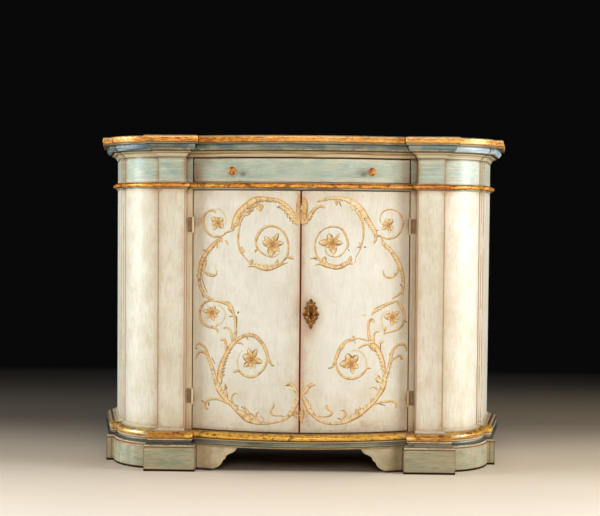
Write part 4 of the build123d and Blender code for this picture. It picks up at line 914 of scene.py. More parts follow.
    ('h', [(134.6, 389.1, 1.3), (147.4, 399.4, 2.6), (162.9, 405.0, 1.3)]),
    ('s', [(114.8, 353.0, 1.7), (112.9, 336.2, 3.9), (116.2, 319.4, 4.8), (126.1, 303.8, 5.2), (140.7, 292.2, 5.6), (156.8, 288.4, 6.1), (173.9, 289.8, 6.1), (191.2, 299.1, 5.6), (203.4, 311.9, 5.2), (210.0, 320.4, 4.8), (217.1, 320.2, 4.3), (223.1, 318.6, 1.1)]),
    ('p', [(208.5, 322.2, 2.2), (207.8, 339.1, 3.5), (202.4, 356.1, 3.5), (192.3, 370.0, 3.5), (178.7, 376.9, 3.0), (165.8, 376.0, 2.2), (156.8, 372.2, 1.1)]),
    ('k', [(115.5, 365.9, 0.9), (116.8, 360.2, 1.7), (116.3, 355.6, 0.9)]),
    ('s', [(264.1, 270.1, 7.8), (268.1, 288.3, 9.1), (273.7, 305.1, 8.7), (279.3, 323.2, 7.8), (283.3, 341.3, 7.4), (286.3, 359.5, 6.5), (291.9, 376.4, 6.1), (301.3, 387.6, 6.1), (314.0, 393.0, 5.6), (326.3, 391.6, 5.6), (332.8, 382.5, 5.2), (334.1, 369.4, 1.3)]),
    ('s', [(286.5, 338.6, 3.0), (293.8, 348.1, 5.2), (303.6, 355.1, 5.6), (312.8, 357.0, 5.6), (320.4, 351.5, 5.2), (322.1, 343.6, 1.3)]),
    ('k', [(331.2, 384.4, 1.3), (334.5, 377.7, 2.6), (334.1, 369.9, 1.1)]),
    ('k', [(313.4, 352.2, 1.1), (319.6, 346.3, 2.2), (322.1, 343.6, 0.9)]),
    ('l', [(281.1, 350.5, 1.3), (282.0, 361.0, 3.5), (281.4, 367.5, 0.9)]),
    ('s', [(265.8, 304.0, 5.2), (264.9, 285.7, 10.4), (263.0, 267.5, 13.0), (257.4, 252.0, 13.5), (250.2, 239.2, 10.9), (241.7, 226.4, 9.6), (231.3, 213.1, 10.9), (217.1, 201.0, 12.2), (200.2, 187.1, 12.6), (184.7, 176.3, 16.1), (167.9, 167.0, 14.3), (147.3, 155.1, 10.4), (126.6, 149.7, 7.8), (103.4, 147.8, 6.5), (82.7, 150.5, 6.5), (63.3, 158.8, 7.4), (46.4, 171.8, 9.1), (33.4, 187.2, 10.4), (24.4, 204.0, 11.3), (17.6, 219.5, 10.9), (10.8, 233.7, 5.2)]),
    ('l', [(255.6, 273.0, 1.7), (247.7, 278.4, 7.4), (241.0, 285.1, 7.4), (239.6, 291.6, 1.3)]),
    ('k', [(239.3, 278.6, 1.1), (245.1, 275.3, 2.4), (251.6, 275.7, 0.9)]),
    ('h', [(243.6, 290.2, 1.1), (247.6, 284.1, 3.0), (254.2, 279.5, 1.3)]),
    ('l', [(252.9, 283.5, 1.3), (247.5, 292.7, 5.2), (243.5, 298.1, 1.1)]),
    ('s', [(217.0, 252.6, 1.3), (223.0, 260.3, 3.9), (232.1, 261.6, 4.3), (239.5, 255.7, 3.9), (243.8, 249.8, 1.3)]),
    ('k', [(217.5, 253.6, 1.1), (225.6, 261.2, 2.0), (236.1, 259.2, 1.1)]),
    ('l', [(230.0, 212.4, 2.2), (226.0, 220.3, 5.6), (225.7, 227.4, 1.3)]),
    ('l', [(189.9, 179.5, 2.6), (188.5, 191.3, 7.8), (187.1, 199.6, 1.7)]),
    ('k', [(186.3, 200.4, 1.1), (189.8, 191.2, 2.4), (189.1, 184.8, 1.1)]),
    ('l', [(180.8, 178.4, 2.2), (177.6, 187.6, 5.6), (176.0, 194.1, 1.1)]),
    ('s', [(125.7, 188.1, 1.7), (132.9, 190.6, 4.3), (140.2, 187.4, 5.2), (143.9, 179.1, 5.6), (140.4, 169.2, 6.1), (131.1, 163.1, 4.3), (123.9, 161.6, 1.3)]),
    ('k', [(118.7, 165.1, 1.1), (123.9, 163.2, 2.2), (130.4, 164.2, 0.9)]),
    ('s', [(85.2, 207.6, 1.3), (84.3, 200.3, 6.5), (90.5, 193.0, 5.6), (98.9, 186.0, 5.6), (99.0, 176.9, 6.1), (88.9, 171.8, 4.8), (74.8, 170.2, 3.9), (59.3, 172.8, 2.2)]),
    ('s', [(234.8, 206.3, 3.0), (248.4, 211.1, 5.6), (264.2, 213.7, 5.6), (280.0, 214.7, 5.6), (293.8, 213.7, 5.6), (301.8, 207.1, 5.2), (303.0, 198.1, 4.8), (298.9, 189.9, 1.3)]),
    ('k', [(245.8, 208.5, 0.9), (257.7, 204.5, 2.2), (268.3, 201.5, 0.9)]),
    ('k', [(298.6, 211.4, 0.9), (302.7, 203.3, 2.2), (302.8, 195.5, 0.9)]),
    ('l', [(10.7, 238.4, 3.0), (16.9, 247.2, 8.3), (23.5, 258.2, 9.1), (31.6, 267.0, 7.8), (40.3, 270.2, 6.5), (50.1, 268.7, 1.3)]),
    ('l', [(5.7, 285.4, 1.3), (9.4, 275.1, 4.3), (10.5, 264.8, 3.5), (9.1, 254.4, 1.3)]),
    ('l', [(5.4, 200.0, 2.2), (8.1, 187.0, 10.0), (7.7, 171.5, 10.9), (6.3, 158.5, 6.5), (6.9, 148.6, 1.3)]),
    ('k', [(2.3, 197.3, 0.9), (5.0, 181.8, 1.7), (4.1, 166.3, 0.9)]),
    ('l', [(23.0, 195.0, 1.7), (20.0, 185.9, 5.6), (21.1, 176.8, 4.3), (18.6, 166.4, 1.1)]),
    ('k', [(28.2, 189.8, 1.1), (33.4, 182.1, 2.2), (28.3, 178.9, 0.9)]),
    ('h', [(20.1, 226.0, 1.1), (28.0, 205.4, 2.2), (39.8, 184.7, 1.1)]),
    ('d', [(14.4, 231.1, 1.1), (22.8, 210.5, 1.7), (35.9, 186.0, 1.7), (51.6, 170.5, 0.9)]),
]
FLOWERS = [
    ('L', -259.1, 770.6, [(150, 20.6, 14.3, 0), (105, 13.5, 11.3, 1), (40, 15.6, 13.0, 1), (-5, 13.0, 11.3, 0), (-50, 18.2, 12.6, 1), (-120, 21.7, 9.6, 0), (-160, 17.4, 9.6, 0)]),
    ('L', -86.6, 703.4, [(168, 26.1, 18.2, 0), (140, 27.8, 12.2, 0), (62, 30.4, 11.7, 1), (8, 25.2, 13.0, 1), (-40, 22.6, 10.9, 0), (-98, 27.8, 20.0, 0)]),
    ('L', -277.9, 488.3, [(175, 23.9, 10.0, 0), (120, 15.6, 9.6, 1), (62, 18.2, 9.1, 1), (15, 20.0, 10.9, 0), (-35, 17.4, 9.6, 0), (-75, 21.3, 10.4, 0), (-128, 19.5, 9.6, 0)]),
    ('L', -150.9, 344.3, [(160, 23.5, 18.2, 0), (108, 28.7, 12.2, 0), (60, 28.2, 13.5, 2), (-15, 26.9, 14.3, 1), (-62, 21.7, 8.7, 0), (-92, 21.7, 9.6, 0), (-138, 25.6, 13.5, 1)]),
    ('R', 98.8, 709.3, [(180, 33.4, 16.7, 0), (112, 25.5, 16.3, 1), (58, 29.8, 6.8, 0), (0, 23.9, 12.3, 1), (-80, 25.8, 16.7, 0), (-122, 17.1, 8.0, 1)]),
    ('R', 273.2, 767.3, [(118, 17.1, 12.3, 0), (55, 17.5, 11.9, 1), (172, 17.5, 8.7, 0), (-142, 19.1, 10.3, 0), (-55, 17.1, 11.1, 1), (-80, 19.5, 7.2, 0)]),
    ('R', 288.9, 479.4, [(178, 21.3, 15.2, 0), (115, 17.4, 11.3, 0), (38, 21.3, 9.6, 1), (-10, 17.4, 9.6, 0), (-52, 18.3, 10.0, 1), (-92, 20.9, 11.3, 0)]),
    ('R', 160.5, 334.0, [(182, 28.2, 18.7, 0), (110, 27.8, 18.3, 1), (52, 25.6, 16.5, 2), (-25, 20.0, 13.5, 0), (-78, 24.3, 10.4, 0)]),
]


# ------------------------------------------------------------------ materials
def edge_dirt(m, lo, hi, w=26.0):
    return (m.z.near(lo, w) * 0.9 + m.z.near(hi, w * 0.7) * 0.7).clamp()


def make_body(name, kind):
    """Cream below the waist and sage above it."""
    m = Mat(name, rough=0.5, spec=0.42, coat=0.4, coat_rough=0.3)
    ze = (m.z.near(118, 52) * 0.56 + m.z.near(125, 9) * 0.3 + m.z.near(875, 18) * 0.65)
    if kind == "corner":
        dx = (m.ax.near(447, 26) * 0.4 + m.ax.near(447, 6) * 0.8 + m.ax.near(574, 8) * 0.7)
    elif kind == "pilaster":
        dx = (m.ax.near(362, 20) * 0.45 + m.ax.near(447, 20) * 0.65 + m.ax.near(447, 5) * 0.7 + 0.12)
    elif kind == "side":
        dx = 0.16 + m.y.near(163, 8) * 0.2
    else:
        dx = 0.14 + m.ax.near(342, 5) * 0.35
    c, fine, hair = cream(m, (ze + dx).clamp())
    zs = (m.z.near(895, 14) * 0.85 + m.z.near(974, 12) * 0.75)
    if kind == "corner":
        ws = (m.ax.near(447, 14) * 0.95 + m.ax.near(570, 14) * 0.85)
    elif kind == "pilaster":
        ws = (m.ax.near(362, 14) * 0.95 + m.ax.near(447, 10) * 0.95)
    elif kind == "side":
        ws = 0.25 + m.y.near(163, 10) * 0.5
    else:
        ws = 0.08 + m.ax.near(362, 6) * 0.4
    # Side panels a lighter cream overall: painted light.
    if kind == "side":
        c = m.mix(0.3, c, rgb(242, 240, 226))
    g, s1 = sage(m, (zs + ws).clamp())
    if kind == "corner":
        # Slight whitening of the sage on both corners, strongest on the right corner: painted sheen.
        sheen = m.noise(120, 3, 0.65, sc=(0.25, 0.25, 1), off=(4, 4, 1))
        g = m.mix(0.06 + m.x.step(440, 560) * (0.2 + sheen.step(0.4, 0.6) * 0.2), g, rgb(234, 236, 226))
    if kind == "pilaster":
        # Inner return of the pilaster at the frieze: painted shade on the right pilaster, painted light on the left
        # one.
        back = m.y.step(1.6, 5.0) * m.ax.step(364.0, 362.6)
        g = m.mix(back * m.x.step(-10, 10) * 0.5, g, rgb(78, 80, 56))
        g = m.mix(back * m.x.step(10, -10) * 0.35, g, rgb(176, 196, 170))
    rubb = m.noise(44, 4, 0.7, sc=(0.4, 0.4, 1), off=(8, 1, 2))
    g = m.mix((m.z.near(976, 22) + m.z.near(896, 20)).clamp() * rubb.step(0.38, 0.58) * 0.6, g, rgb(216, 206, 182))
    fs = m.noise(520.0, 2, 0.6, sc=(0.04, 0.04, 1), off=(3, 3, 8))
    g = m.mix(fs.step(0.5, 0.7) * 0.3, g, rgb(226, 226, 206))
    g = m.mix(fs.step(0.48, 0.32) * 0.26, g, rgb(138, 150, 130))
    rub = m.noise(160, 3, 0.65, sc=(0.06, 0.06, 1), off=(7, 3, 3))
    g = m.mix(m.z.near(902.5, 4.5) * rub.step(0.42, 0.58) * 0.6, g, rgb(232, 218, 208))
    g = m.mix(m.z.near(972.0, 4.6) * 0.72, g, rgb(92, 68, 36))
    col = m.mix(m.z.step(884, 888), c, g)
    n = m.noise(60, 4, 0.7, sc=(1, 1, 0.12), off=(2, 5, 1))
    if kind == "pilaster":
        front = m.y.step(5.0, 1.6)
        col = m.mix(m.ax.near(362.8, 3.6) * front * n.step(0.22, 0.42) * 0.95, col, rgb(170, 100, 46))
        col = m.mix(m.ax.near(446.4, 2.6) * front * n.step(0.26, 0.46) * 0.95, col, rgb(140, 84, 40))
    if kind == "corner":
        col = m.mix(m.ax.near(447.5, 3.2) * n.step(0.2, 0.4) * 0.9, col, rgb(140, 84, 42))
        col = m.mix(m.ax.near(571.5, 2.0) * n.step(0.3, 0.5) * 0.7, col, rgb(150, 110, 70))
    if kind == "side":
        # Right frieze lighter, left side lighter, right side slightly darker and browner: painted light and painted
        # shade.
        col = m.mix(m.x.step(-10, 10) * m.z.step(884, 890) * 0.3, col, rgb(224, 226, 208))
        col = m.mix(m.x.step(10, -10) * 0.16, col, rgb(250, 252, 238))
        face = m.y.step(166.0, 163.8)
        ln = (m.ax.near(574.5, 1.8) * 0.8 + m.ax.near(581.5, 1.6) * n.step(0.38, 0.5) * 0.75
              + m.ax.near(588.5, 2.2) * n.step(0.3, 0.5) * 0.8)
        col = m.mix(m.x.step(-10, 10) * 0.1, col, rgb(170, 140, 100))
        col = m.mix((ln * (1.0 + m.x.step(-10, 10) * 0.35)).clamp() * face, col, rgb(146, 104, 62))
        col = m.mix((1.0 - face) * n.step(0.5, 0.7) * 0.4, col, rgb(178, 146, 104))
    if kind == "post":
        # Left post lighter below the waist and right post darker: painted light and painted shade.
        col = m.mix(m.x.step(10, -10) * m.z.step(888, 884) * 0.34, col, rgb(250, 228, 188))
        col = m.mix(m.x.step(-10, 10) * 0.14, col, rgb(150, 108, 62))
        col = m.mix(m.z.step(250.0, 140.0) * 0.34, col, rgb(252, 228, 192))
        col = m.mix(m.ax.near(353, 4.0) * n.step(0.35, 0.55) * 0.35, col, rgb(206, 160, 130))
        col = m.mix(m.ax.near(361.5, 1.6) * 0.6, col, rgb(140, 100, 62))
        col = m.mix(m.ax.near(342, 1.6) * 0.6, col, rgb(120, 86, 54))
    m.colour(col)
    m.rough(0.44 + 0.22 * fine)
    m.bump(fine * 0.7 + hair * 0.35 + s1 * 0.2, 0.0003, 0.35)
    return m


M_CORNER = make_body("paint_corner", "corner")
M_PILASTER = make_body("paint_pilaster", "pilaster")
M_SIDE = make_body("paint_side", "side")
M_POST = make_body("paint_post", "post")


def make_door(name, side):
    m = Mat(name, rough=0.5, spec=0.42, coat=0.4, coat_rough=0.3)
    d = (m.ax.near(340, 60) * 0.4 + m.ax.near(340, 6) * 0.5 + m.z.near(119, 80) * 0.7
         + m.z.near(119, 12) * 0.4 + m.z.near(871, 44) * 0.5 + m.ax.near(0, 34) * 0.6)
    hz = m.z.near(770, 40).max(m.z.near(215, 40))
    d = d + m.ax.near(335, 34) * hz * 0.8
    if side == "right":
        lock = ((m.x - 32) / 44.0) * ((m.x - 32) / 44.0) + ((m.z - 482) / 66.0) * ((m.z - 482) / 66.0)
        d = d + lock.step(1.3, 0.1) * 0.8 + m.x.near(2, 46) * 0.4 + m.z.near(119, 150) * 0.35
    n = m.noise(8, 4, 0.72, off=(3, 7, 2) if side == "left" else (5, 1, 6))
    d = (d * (0.45 + n * 1.1) + n.step(0.53, 0.72) * 0.4).clamp()
    c, fine, hair = cream(m, d)
    mid = (m.ax.step(300, 200) * m.ax.step(30, 90) * m.z.step(200, 330) * m.z.step(820, 700))
    c = m.mix(0.2 + mid * 0.22, c, rgb(240, 240, 232))
    spot = m.cells(30, off=(3, 1, 2) if side == "left" else (8, 2, 5))
    c = m.mix(spot.step(0.09, 0.04) * 0.28, c, rgb(136, 100, 68))
    c = m.mix(m.ax.near(336, 5) * hz.step(0.5, 0.8) * 0.5, c, rgb(124, 88, 52))
    c = m.mix(m.ax.step(19.0, 3.0) * (0.28 + n.step(0.38, 0.54) * 0.4), c, rgb(208, 168, 136))
    if side == "right":
        c = m.mix((lock.step(2.2, 0.6) * n.step(0.4, 0.56) * m.x.step(60.0, 30.0)) * 0.45, c, rgb(196, 156, 128))
    if side == "left":
        c = m.mix(m.x.near(-10, 30) * m.z.near(482, 84) * n.step(0.3, 0.5) * 0.4, c, rgb(148, 108, 74))
    # Lighter lower outer corners of the doors: painted light over the shade cast by the base moulding.
    c = m.mix(m.ax.step(262.0, 326.0) * m.z.step(176.0, 126.0) * 0.34, c, rgb(252, 234, 206))
    seam = m.ax.step(3.7, 2.3)
    c = m.mix(seam * 0.97, c, rgb(118, 52, 16))
    c = m.mix(m.ax.step(2.2, 1.6) * m.y.step(-24.0, -22.0) * 0.9, c, rgb(156, 118, 78))
    m.put(m.b.inputs["Coat Weight"], 0.4 - seam * 0.4)
    m.put(m.b.inputs["Specular IOR Level"], 0.42 - seam * 0.36)
    c = m.mix(m.ax.step(338.4, 339.6) * 0.6, c, rgb(150, 116, 78))
    m.colour(c)
    m.rough(0.44 + 0.22 * fine)
    m.bump(fine * 0.7 + hair * 0.35, 0.0003, 0.35)
    return m


M_DOOR_L, M_DOOR_R = make_door("paint_door_left", "left"), make_door("paint_door_right", "right")


def make_drawer():
    m = Mat("paint_drawer", rough=0.5, spec=0.42, coat=0.4, coat_rough=0.3)
    w = (m.ax.near(340, 60) * 0.95 + m.z.near(898, 9) * 0.85 + m.z.near(971, 7) * 0.85)
    tint = 0.16
    knob = (((m.ax - 222) / 34.0) * ((m.ax - 222) / 34.0) + ((m.z - 922) / 24.0) * ((m.z - 922) / 24.0))
    w = w + knob.step(1.4, 0.2) * 0.35
    c, s1 = sage(m, w.clamp())
    c = m.mix(tint, c, rgb(204, 216, 194))
    rubb = m.noise(44, 4, 0.7, sc=(0.4, 0.4, 1), off=(8, 1, 2))
    c = m.mix((m.z.near(975, 22) + m.z.near(896, 20)).clamp() * rubb.step(0.36, 0.52), c, rgb(220, 206, 184))
    deep = m.noise(8, 3, 0.6, sc=(0.6, 1, 1), off=(6, 2, 9))
    c = m.mix(deep.step(0.42, 0.6) * m.z.near(934, 34) * 0.7, c, rgb(146, 174, 156))
    fine = m.noise(520.0, 2, 0.6, sc=(0.04, 0.04, 1), off=(3, 3, 8))
    c = m.mix(fine.step(0.5, 0.7) * 0.34, c, rgb(226, 226, 204))
    c = m.mix(fine.step(0.48, 0.32) * 0.3, c, rgb(138, 150, 130))
    rust = m.noise(26, 4, 0.7, sc=(0.7, 1, 1), off=(4, 1, 7))
    ends = (m.z.near(971.0, 22.0) + m.z.near(898.0, 24.0)).clamp()
    c = m.mix(m.x.step(-300.0, -338.0) * rust.step(0.36, 0.56) * (0.45 + ends * 0.4), c, rgb(142, 82, 48))
    c = m.mix(m.x.step(286.0, 320.0) * 0.34, c, rgb(222, 214, 184))
    c = m.mix(m.x.step(300.0, 338.0) * rust.step(0.36, 0.56) * (0.1 + ends * 0.4), c, rgb(142, 82, 48))
    c = m.mix(m.x.near(-292.0, 44.0) * m.z.near(962.0, 22.0) * rust.step(0.3, 0.5) * 0.5, c, rgb(108, 116, 84))
    c = m.mix(m.ax.step(336.0, 339.0) * 0.85, c, rgb(84, 52, 30))
    c = m.mix(m.z.step(968.8, 970.4) * 0.75, c, rgb(92, 60, 36))
    # Lighter bottom edge of the drawer front: painted light over the shade of its down-facing round.
    c = m.mix(m.z.step(899.8, 898.6) * 0.4, c, rgb(176, 152, 118))
    # Soft grey patches beside the knobs: painted shadows of the knobs.
    for gx, gz, gw, gh in ((-182.0, 921.0, 13.0, 9.0), (194.0, 923.0, 13.0, 9.0)):
        knob_shadow = (((m.x - gx) / gw) * ((m.x - gx) / gw) + ((m.z - gz) / gh) * ((m.z - gz) / gh))
        c = m.mix(knob_shadow.step(1.0, 0.1) * 0.55, c, rgb(96, 104, 76))
    m.colour(c)
    m.rough(0.42 + 0.25 * s1)
    m.bump(s1, 0.0003, 0.35)
    return m


M_DRAWER = make_drawer()


def make_plinth(name, kind):
    m = Mat(name, rough=0.5, spec=0.42, coat=0.4, coat_rough=0.3)
    w = m.z.near(-DROP, 17) * 1.0 + m.z.near(70, 8) * 0.75
    if kind == "block":
        w = w + m.ax.near(324, 9) * 0.75 + m.ax.near(485, 8) * 0.85
    elif kind == "corner":
        w = w + m.ax.near(485, 10) * 0.9 + m.ax.near(606, 10) * 0.7
    else:
        w = w + 0.15 + m.y.near(125, 9) * 0.6
    c, s1 = sage(m, w.clamp(), tone="plinth")
    n = m.noise(36, 4, 0.7, off=(2, 5, 1))
    c = m.mix(m.z.step(5, -1) * n.step(0.3, 0.5) * 0.8, c, rgb(172, 134, 88))
    fine = m.noise(520.0, 2, 0.6, sc=(0.05, 0.05, 1), off=(3, 3, 8))
    c = m.mix(fine.step(0.5, 0.7) * 0.3, c, rgb(196, 190, 158))
    c = m.mix(fine.step(0.5, 0.34) * 0.3, c, rgb(118, 112, 84))
    if kind == "corner":
        # Pale upright streaks on the corner plinths, stronger on the left: painted sheen; the browner tone on the
        # right corner is painted shade.
        sh = m.noise(60, 3, 0.65, sc=(1, 1, 0.25), off=(4, 1, 3))
        c = m.mix((m.ax.near(572, 34) * 0.45 + m.ax.near(530, 14) * 0.25) * sh.step(0.36, 0.58)
                  * (0.35 + m.x.step(10, -10) * 0.55), c, rgb(210, 218, 202))
        c = m.mix(m.x.step(-10, 10) * (0.12 + sh.step(0.5, 0.36) * 0.2), c, rgb(150, 126, 92))
        c = m.mix(m.z.near(66.5, 5.5) * n.step(0.44, 0.56) * 0.8, c, rgb(176, 116, 66))
    if kind == "block":
        c = m.mix(m.z.near(67.5, 3.5) * n.step(0.46, 0.6) * 0.6, c, rgb(168, 116, 70))
        c = m.mix(m.x.step(300, 330) * 0.12, c, rgb(128, 108, 76))
    # Near-black band at the foot of the plinth: painted contact shadow; the coat and specular fade with it.
    contact_shadow = m.z.step(3.2, 1.0)
    c = m.mix(contact_shadow * 0.96, c, rgb(24, 9, 2))
    m.put(m.b.inputs["Coat Weight"], 0.4 - contact_shadow * 0.4)
    m.put(m.b.inputs["Specular IOR Level"], 0.42 - contact_shadow * 0.38)
    c = m.mix(m.z.step(68.2, 69.4) * 0.6, c, rgb(96, 66, 40))
    if kind == "block":
        front = m.y.step(-30.0, -36.0)
        c = m.mix((m.ax.near(484.6, 2.4) + m.ax.near(324.4, 2.6)).clamp() * front * 0.85, c, rgb(84, 56, 32))
    if kind == "corner":
        c = m.mix(m.ax.near(485.5, 3.4) * 0.85, c, rgb(78, 52, 30))
    if kind == "side":
        ln = m.ax.near(613, 2.0) + m.ax.near(628, 3.2)
        c = m.mix(ln.clamp() * m.y.step(130.0, 127.0) * 0.85, c, rgb(78, 52, 32))
    m.colour(c)
    m.rough(0.42 + 0.25 * s1)
    m.bump(s1, 0.0003, 0.35)
    return m


M_PBLOCK = make_plinth("paint_plinth_block", "block")
M_PCORNER = make_plinth("paint_plinth_corner", "corner")
M_PSIDE = make_plinth("paint_plinth_side", "side")


def make_bracket():
    m = Mat("paint_bracket", rough=0.56, spec=0.35, coat=0.05, coat_rough=0.3)
    c, s1 = sage(m, (0.5 + m.z.near(-DROP, 11) * 0.5).clamp(), tone="plinth")
    n = m.noise(30, 4, 0.7, off=(7, 5, 1))
    right = m.x.step(-10, 10)
    c = m.mix((0.35 + n.step(0.4, 0.6) * 0.45) * (1.0 - right * 0.45), c, rgb(216, 194, 160))
    c = m.mix(m.ax.near(304, 20) * (0.25 + right * 0.25), c, rgb(118, 98, 70))
    c = m.mix(m.ax.near(323, 3.0) * 0.8, c, rgb(70, 46, 26))
    # Near-black band at the foot of the bracket: painted contact shadow.
    c = m.mix(m.z.step(3.2, 1.0) * 0.94, c, rgb(26, 10, 2))
    m.colour(c)
    m.rough(0.52)
    m.bump(s1, 0.0003, 0.35)
    return m


M_BRACKET = make_bracket()


def make_cornice():
    m = Mat("paint_cornice", rough=0.38, spec=0.5, coat=0.25, coat_rough=0.2)
    s = m.noise(240, 3, 0.6, sc=(0.03, 0.03, 1), off=(2, 1, 4))
    s2 = m.noise(50, 3, 0.65, sc=(0.2, 0.2, 1), off=(5, 2, 4))
    blot = m.noise(40, 4, 0.7, off=(1, 6, 3))
    big = m.noise(9, 3, 0.6, off=(4, 6, 3))
    khaki = m.mix(s.step(0.38, 0.62), rgb(144, 112, 68), rgb(204, 180, 132))
    khaki = m.mix(s2.step(0.5, 0.7) * 0.6, khaki, rgb(152, 150, 122))
    khaki = m.mix(m.z.near(977, 3.0) * 0.5, khaki, rgb(208, 194, 158))
    tan = m.mix(s2.step(0.35, 0.6), rgb(150, 122, 86), rgb(192, 174, 138))
    khaki = m.mix(m.ax.step(350.0, 372.0) * 0.4, khaki, rgb(196, 192, 164))
    teal = m.mix(big.step(0.4, 0.6), rgb(82, 100, 94), rgb(136, 142, 122))
    teal = m.mix(s2.step(0.46, 0.66) * 0.5, teal, rgb(58, 76, 78))
    teal = m.mix(s.step(0.56, 0.72) * 0.7, teal, rgb(164, 172, 156))
    teal = m.mix(s.step(0.42, 0.3) * 0.6, teal, rgb(58, 78, 78))
    teal = m.mix((blot * s2).step(0.3, 0.42) * 0.5, teal, rgb(104, 80, 52))
    # Pale blue streaks on the corner runs of the half-round: painted reflection.
    blue = m.mix(s.step(0.44, 0.64), rgb(54, 86, 104), rgb(186, 204, 206))
    blue = m.mix(blot.step(0.52, 0.66) * 0.6, blue, rgb(88, 84, 74))
    qr = on_corner(m)
    block = m.ax.step(366.0, 374.0) * m.x.step(-10, 10)
    blockl = m.ax.step(366.0, 374.0) * m.x.step(10, -10)
    teal = m.mix(block * 0.7, teal, m.mix(s.step(0.4, 0.66), rgb(48, 84, 94), rgb(104, 136, 138)))
    teal = m.mix(blockl * 0.5, teal, m.mix(s.step(0.4, 0.66), rgb(58, 74, 60), rgb(108, 116, 92)))
    # Whiter blue on the right corner: painted sheen.
    blue = m.mix(m.x.step(-10, 10) * 0.42, blue, rgb(228, 240, 240))
    up = m.mix(qr, teal, blue)
    under = m.mix(blot.step(0.36, 0.56), up, tan)
    c = m.mix(m.z.step(992.5, 993.5), khaki, m.mix(qr * 0.9, m.mix(m.z.step(1001.5, 997.5) * 0.85, up, under), blue))
    c = m.mix(m.z.step(1003.2, 1003.9), c, up)
    c = m.mix(m.z.near(1008.5, 3.5) * s.step(0.45, 0.65) * 0.35, c, rgb(150, 166, 160))
    c = m.mix(m.z.near(990.8, 2.0) * 0.5 + m.z.near(980.5, 3.0) * 0.35, c, rgb(224, 212, 178))
    line = (m.z.near(993.4, 3.4) * 1.5 + m.z.near(986.8, 1.6) * 0.75 + m.z.near(1003.6, 1.0) * 0.35
            + m.z.near(974, 3.4) * 0.9)
    c = m.mix(line.clamp(), c, rgb(70, 40, 18))
    c = m.mix(crease(m, 4.4) * 0.95, c, rgb(22, 24, 24))
    m.colour(c)
    m.rough(0.3 + 0.25 * blot)
    m.bump(s * 0.6 + blot * 0.5, 0.0004, 0.4)
    return m


M_CORNICE = make_cornice()


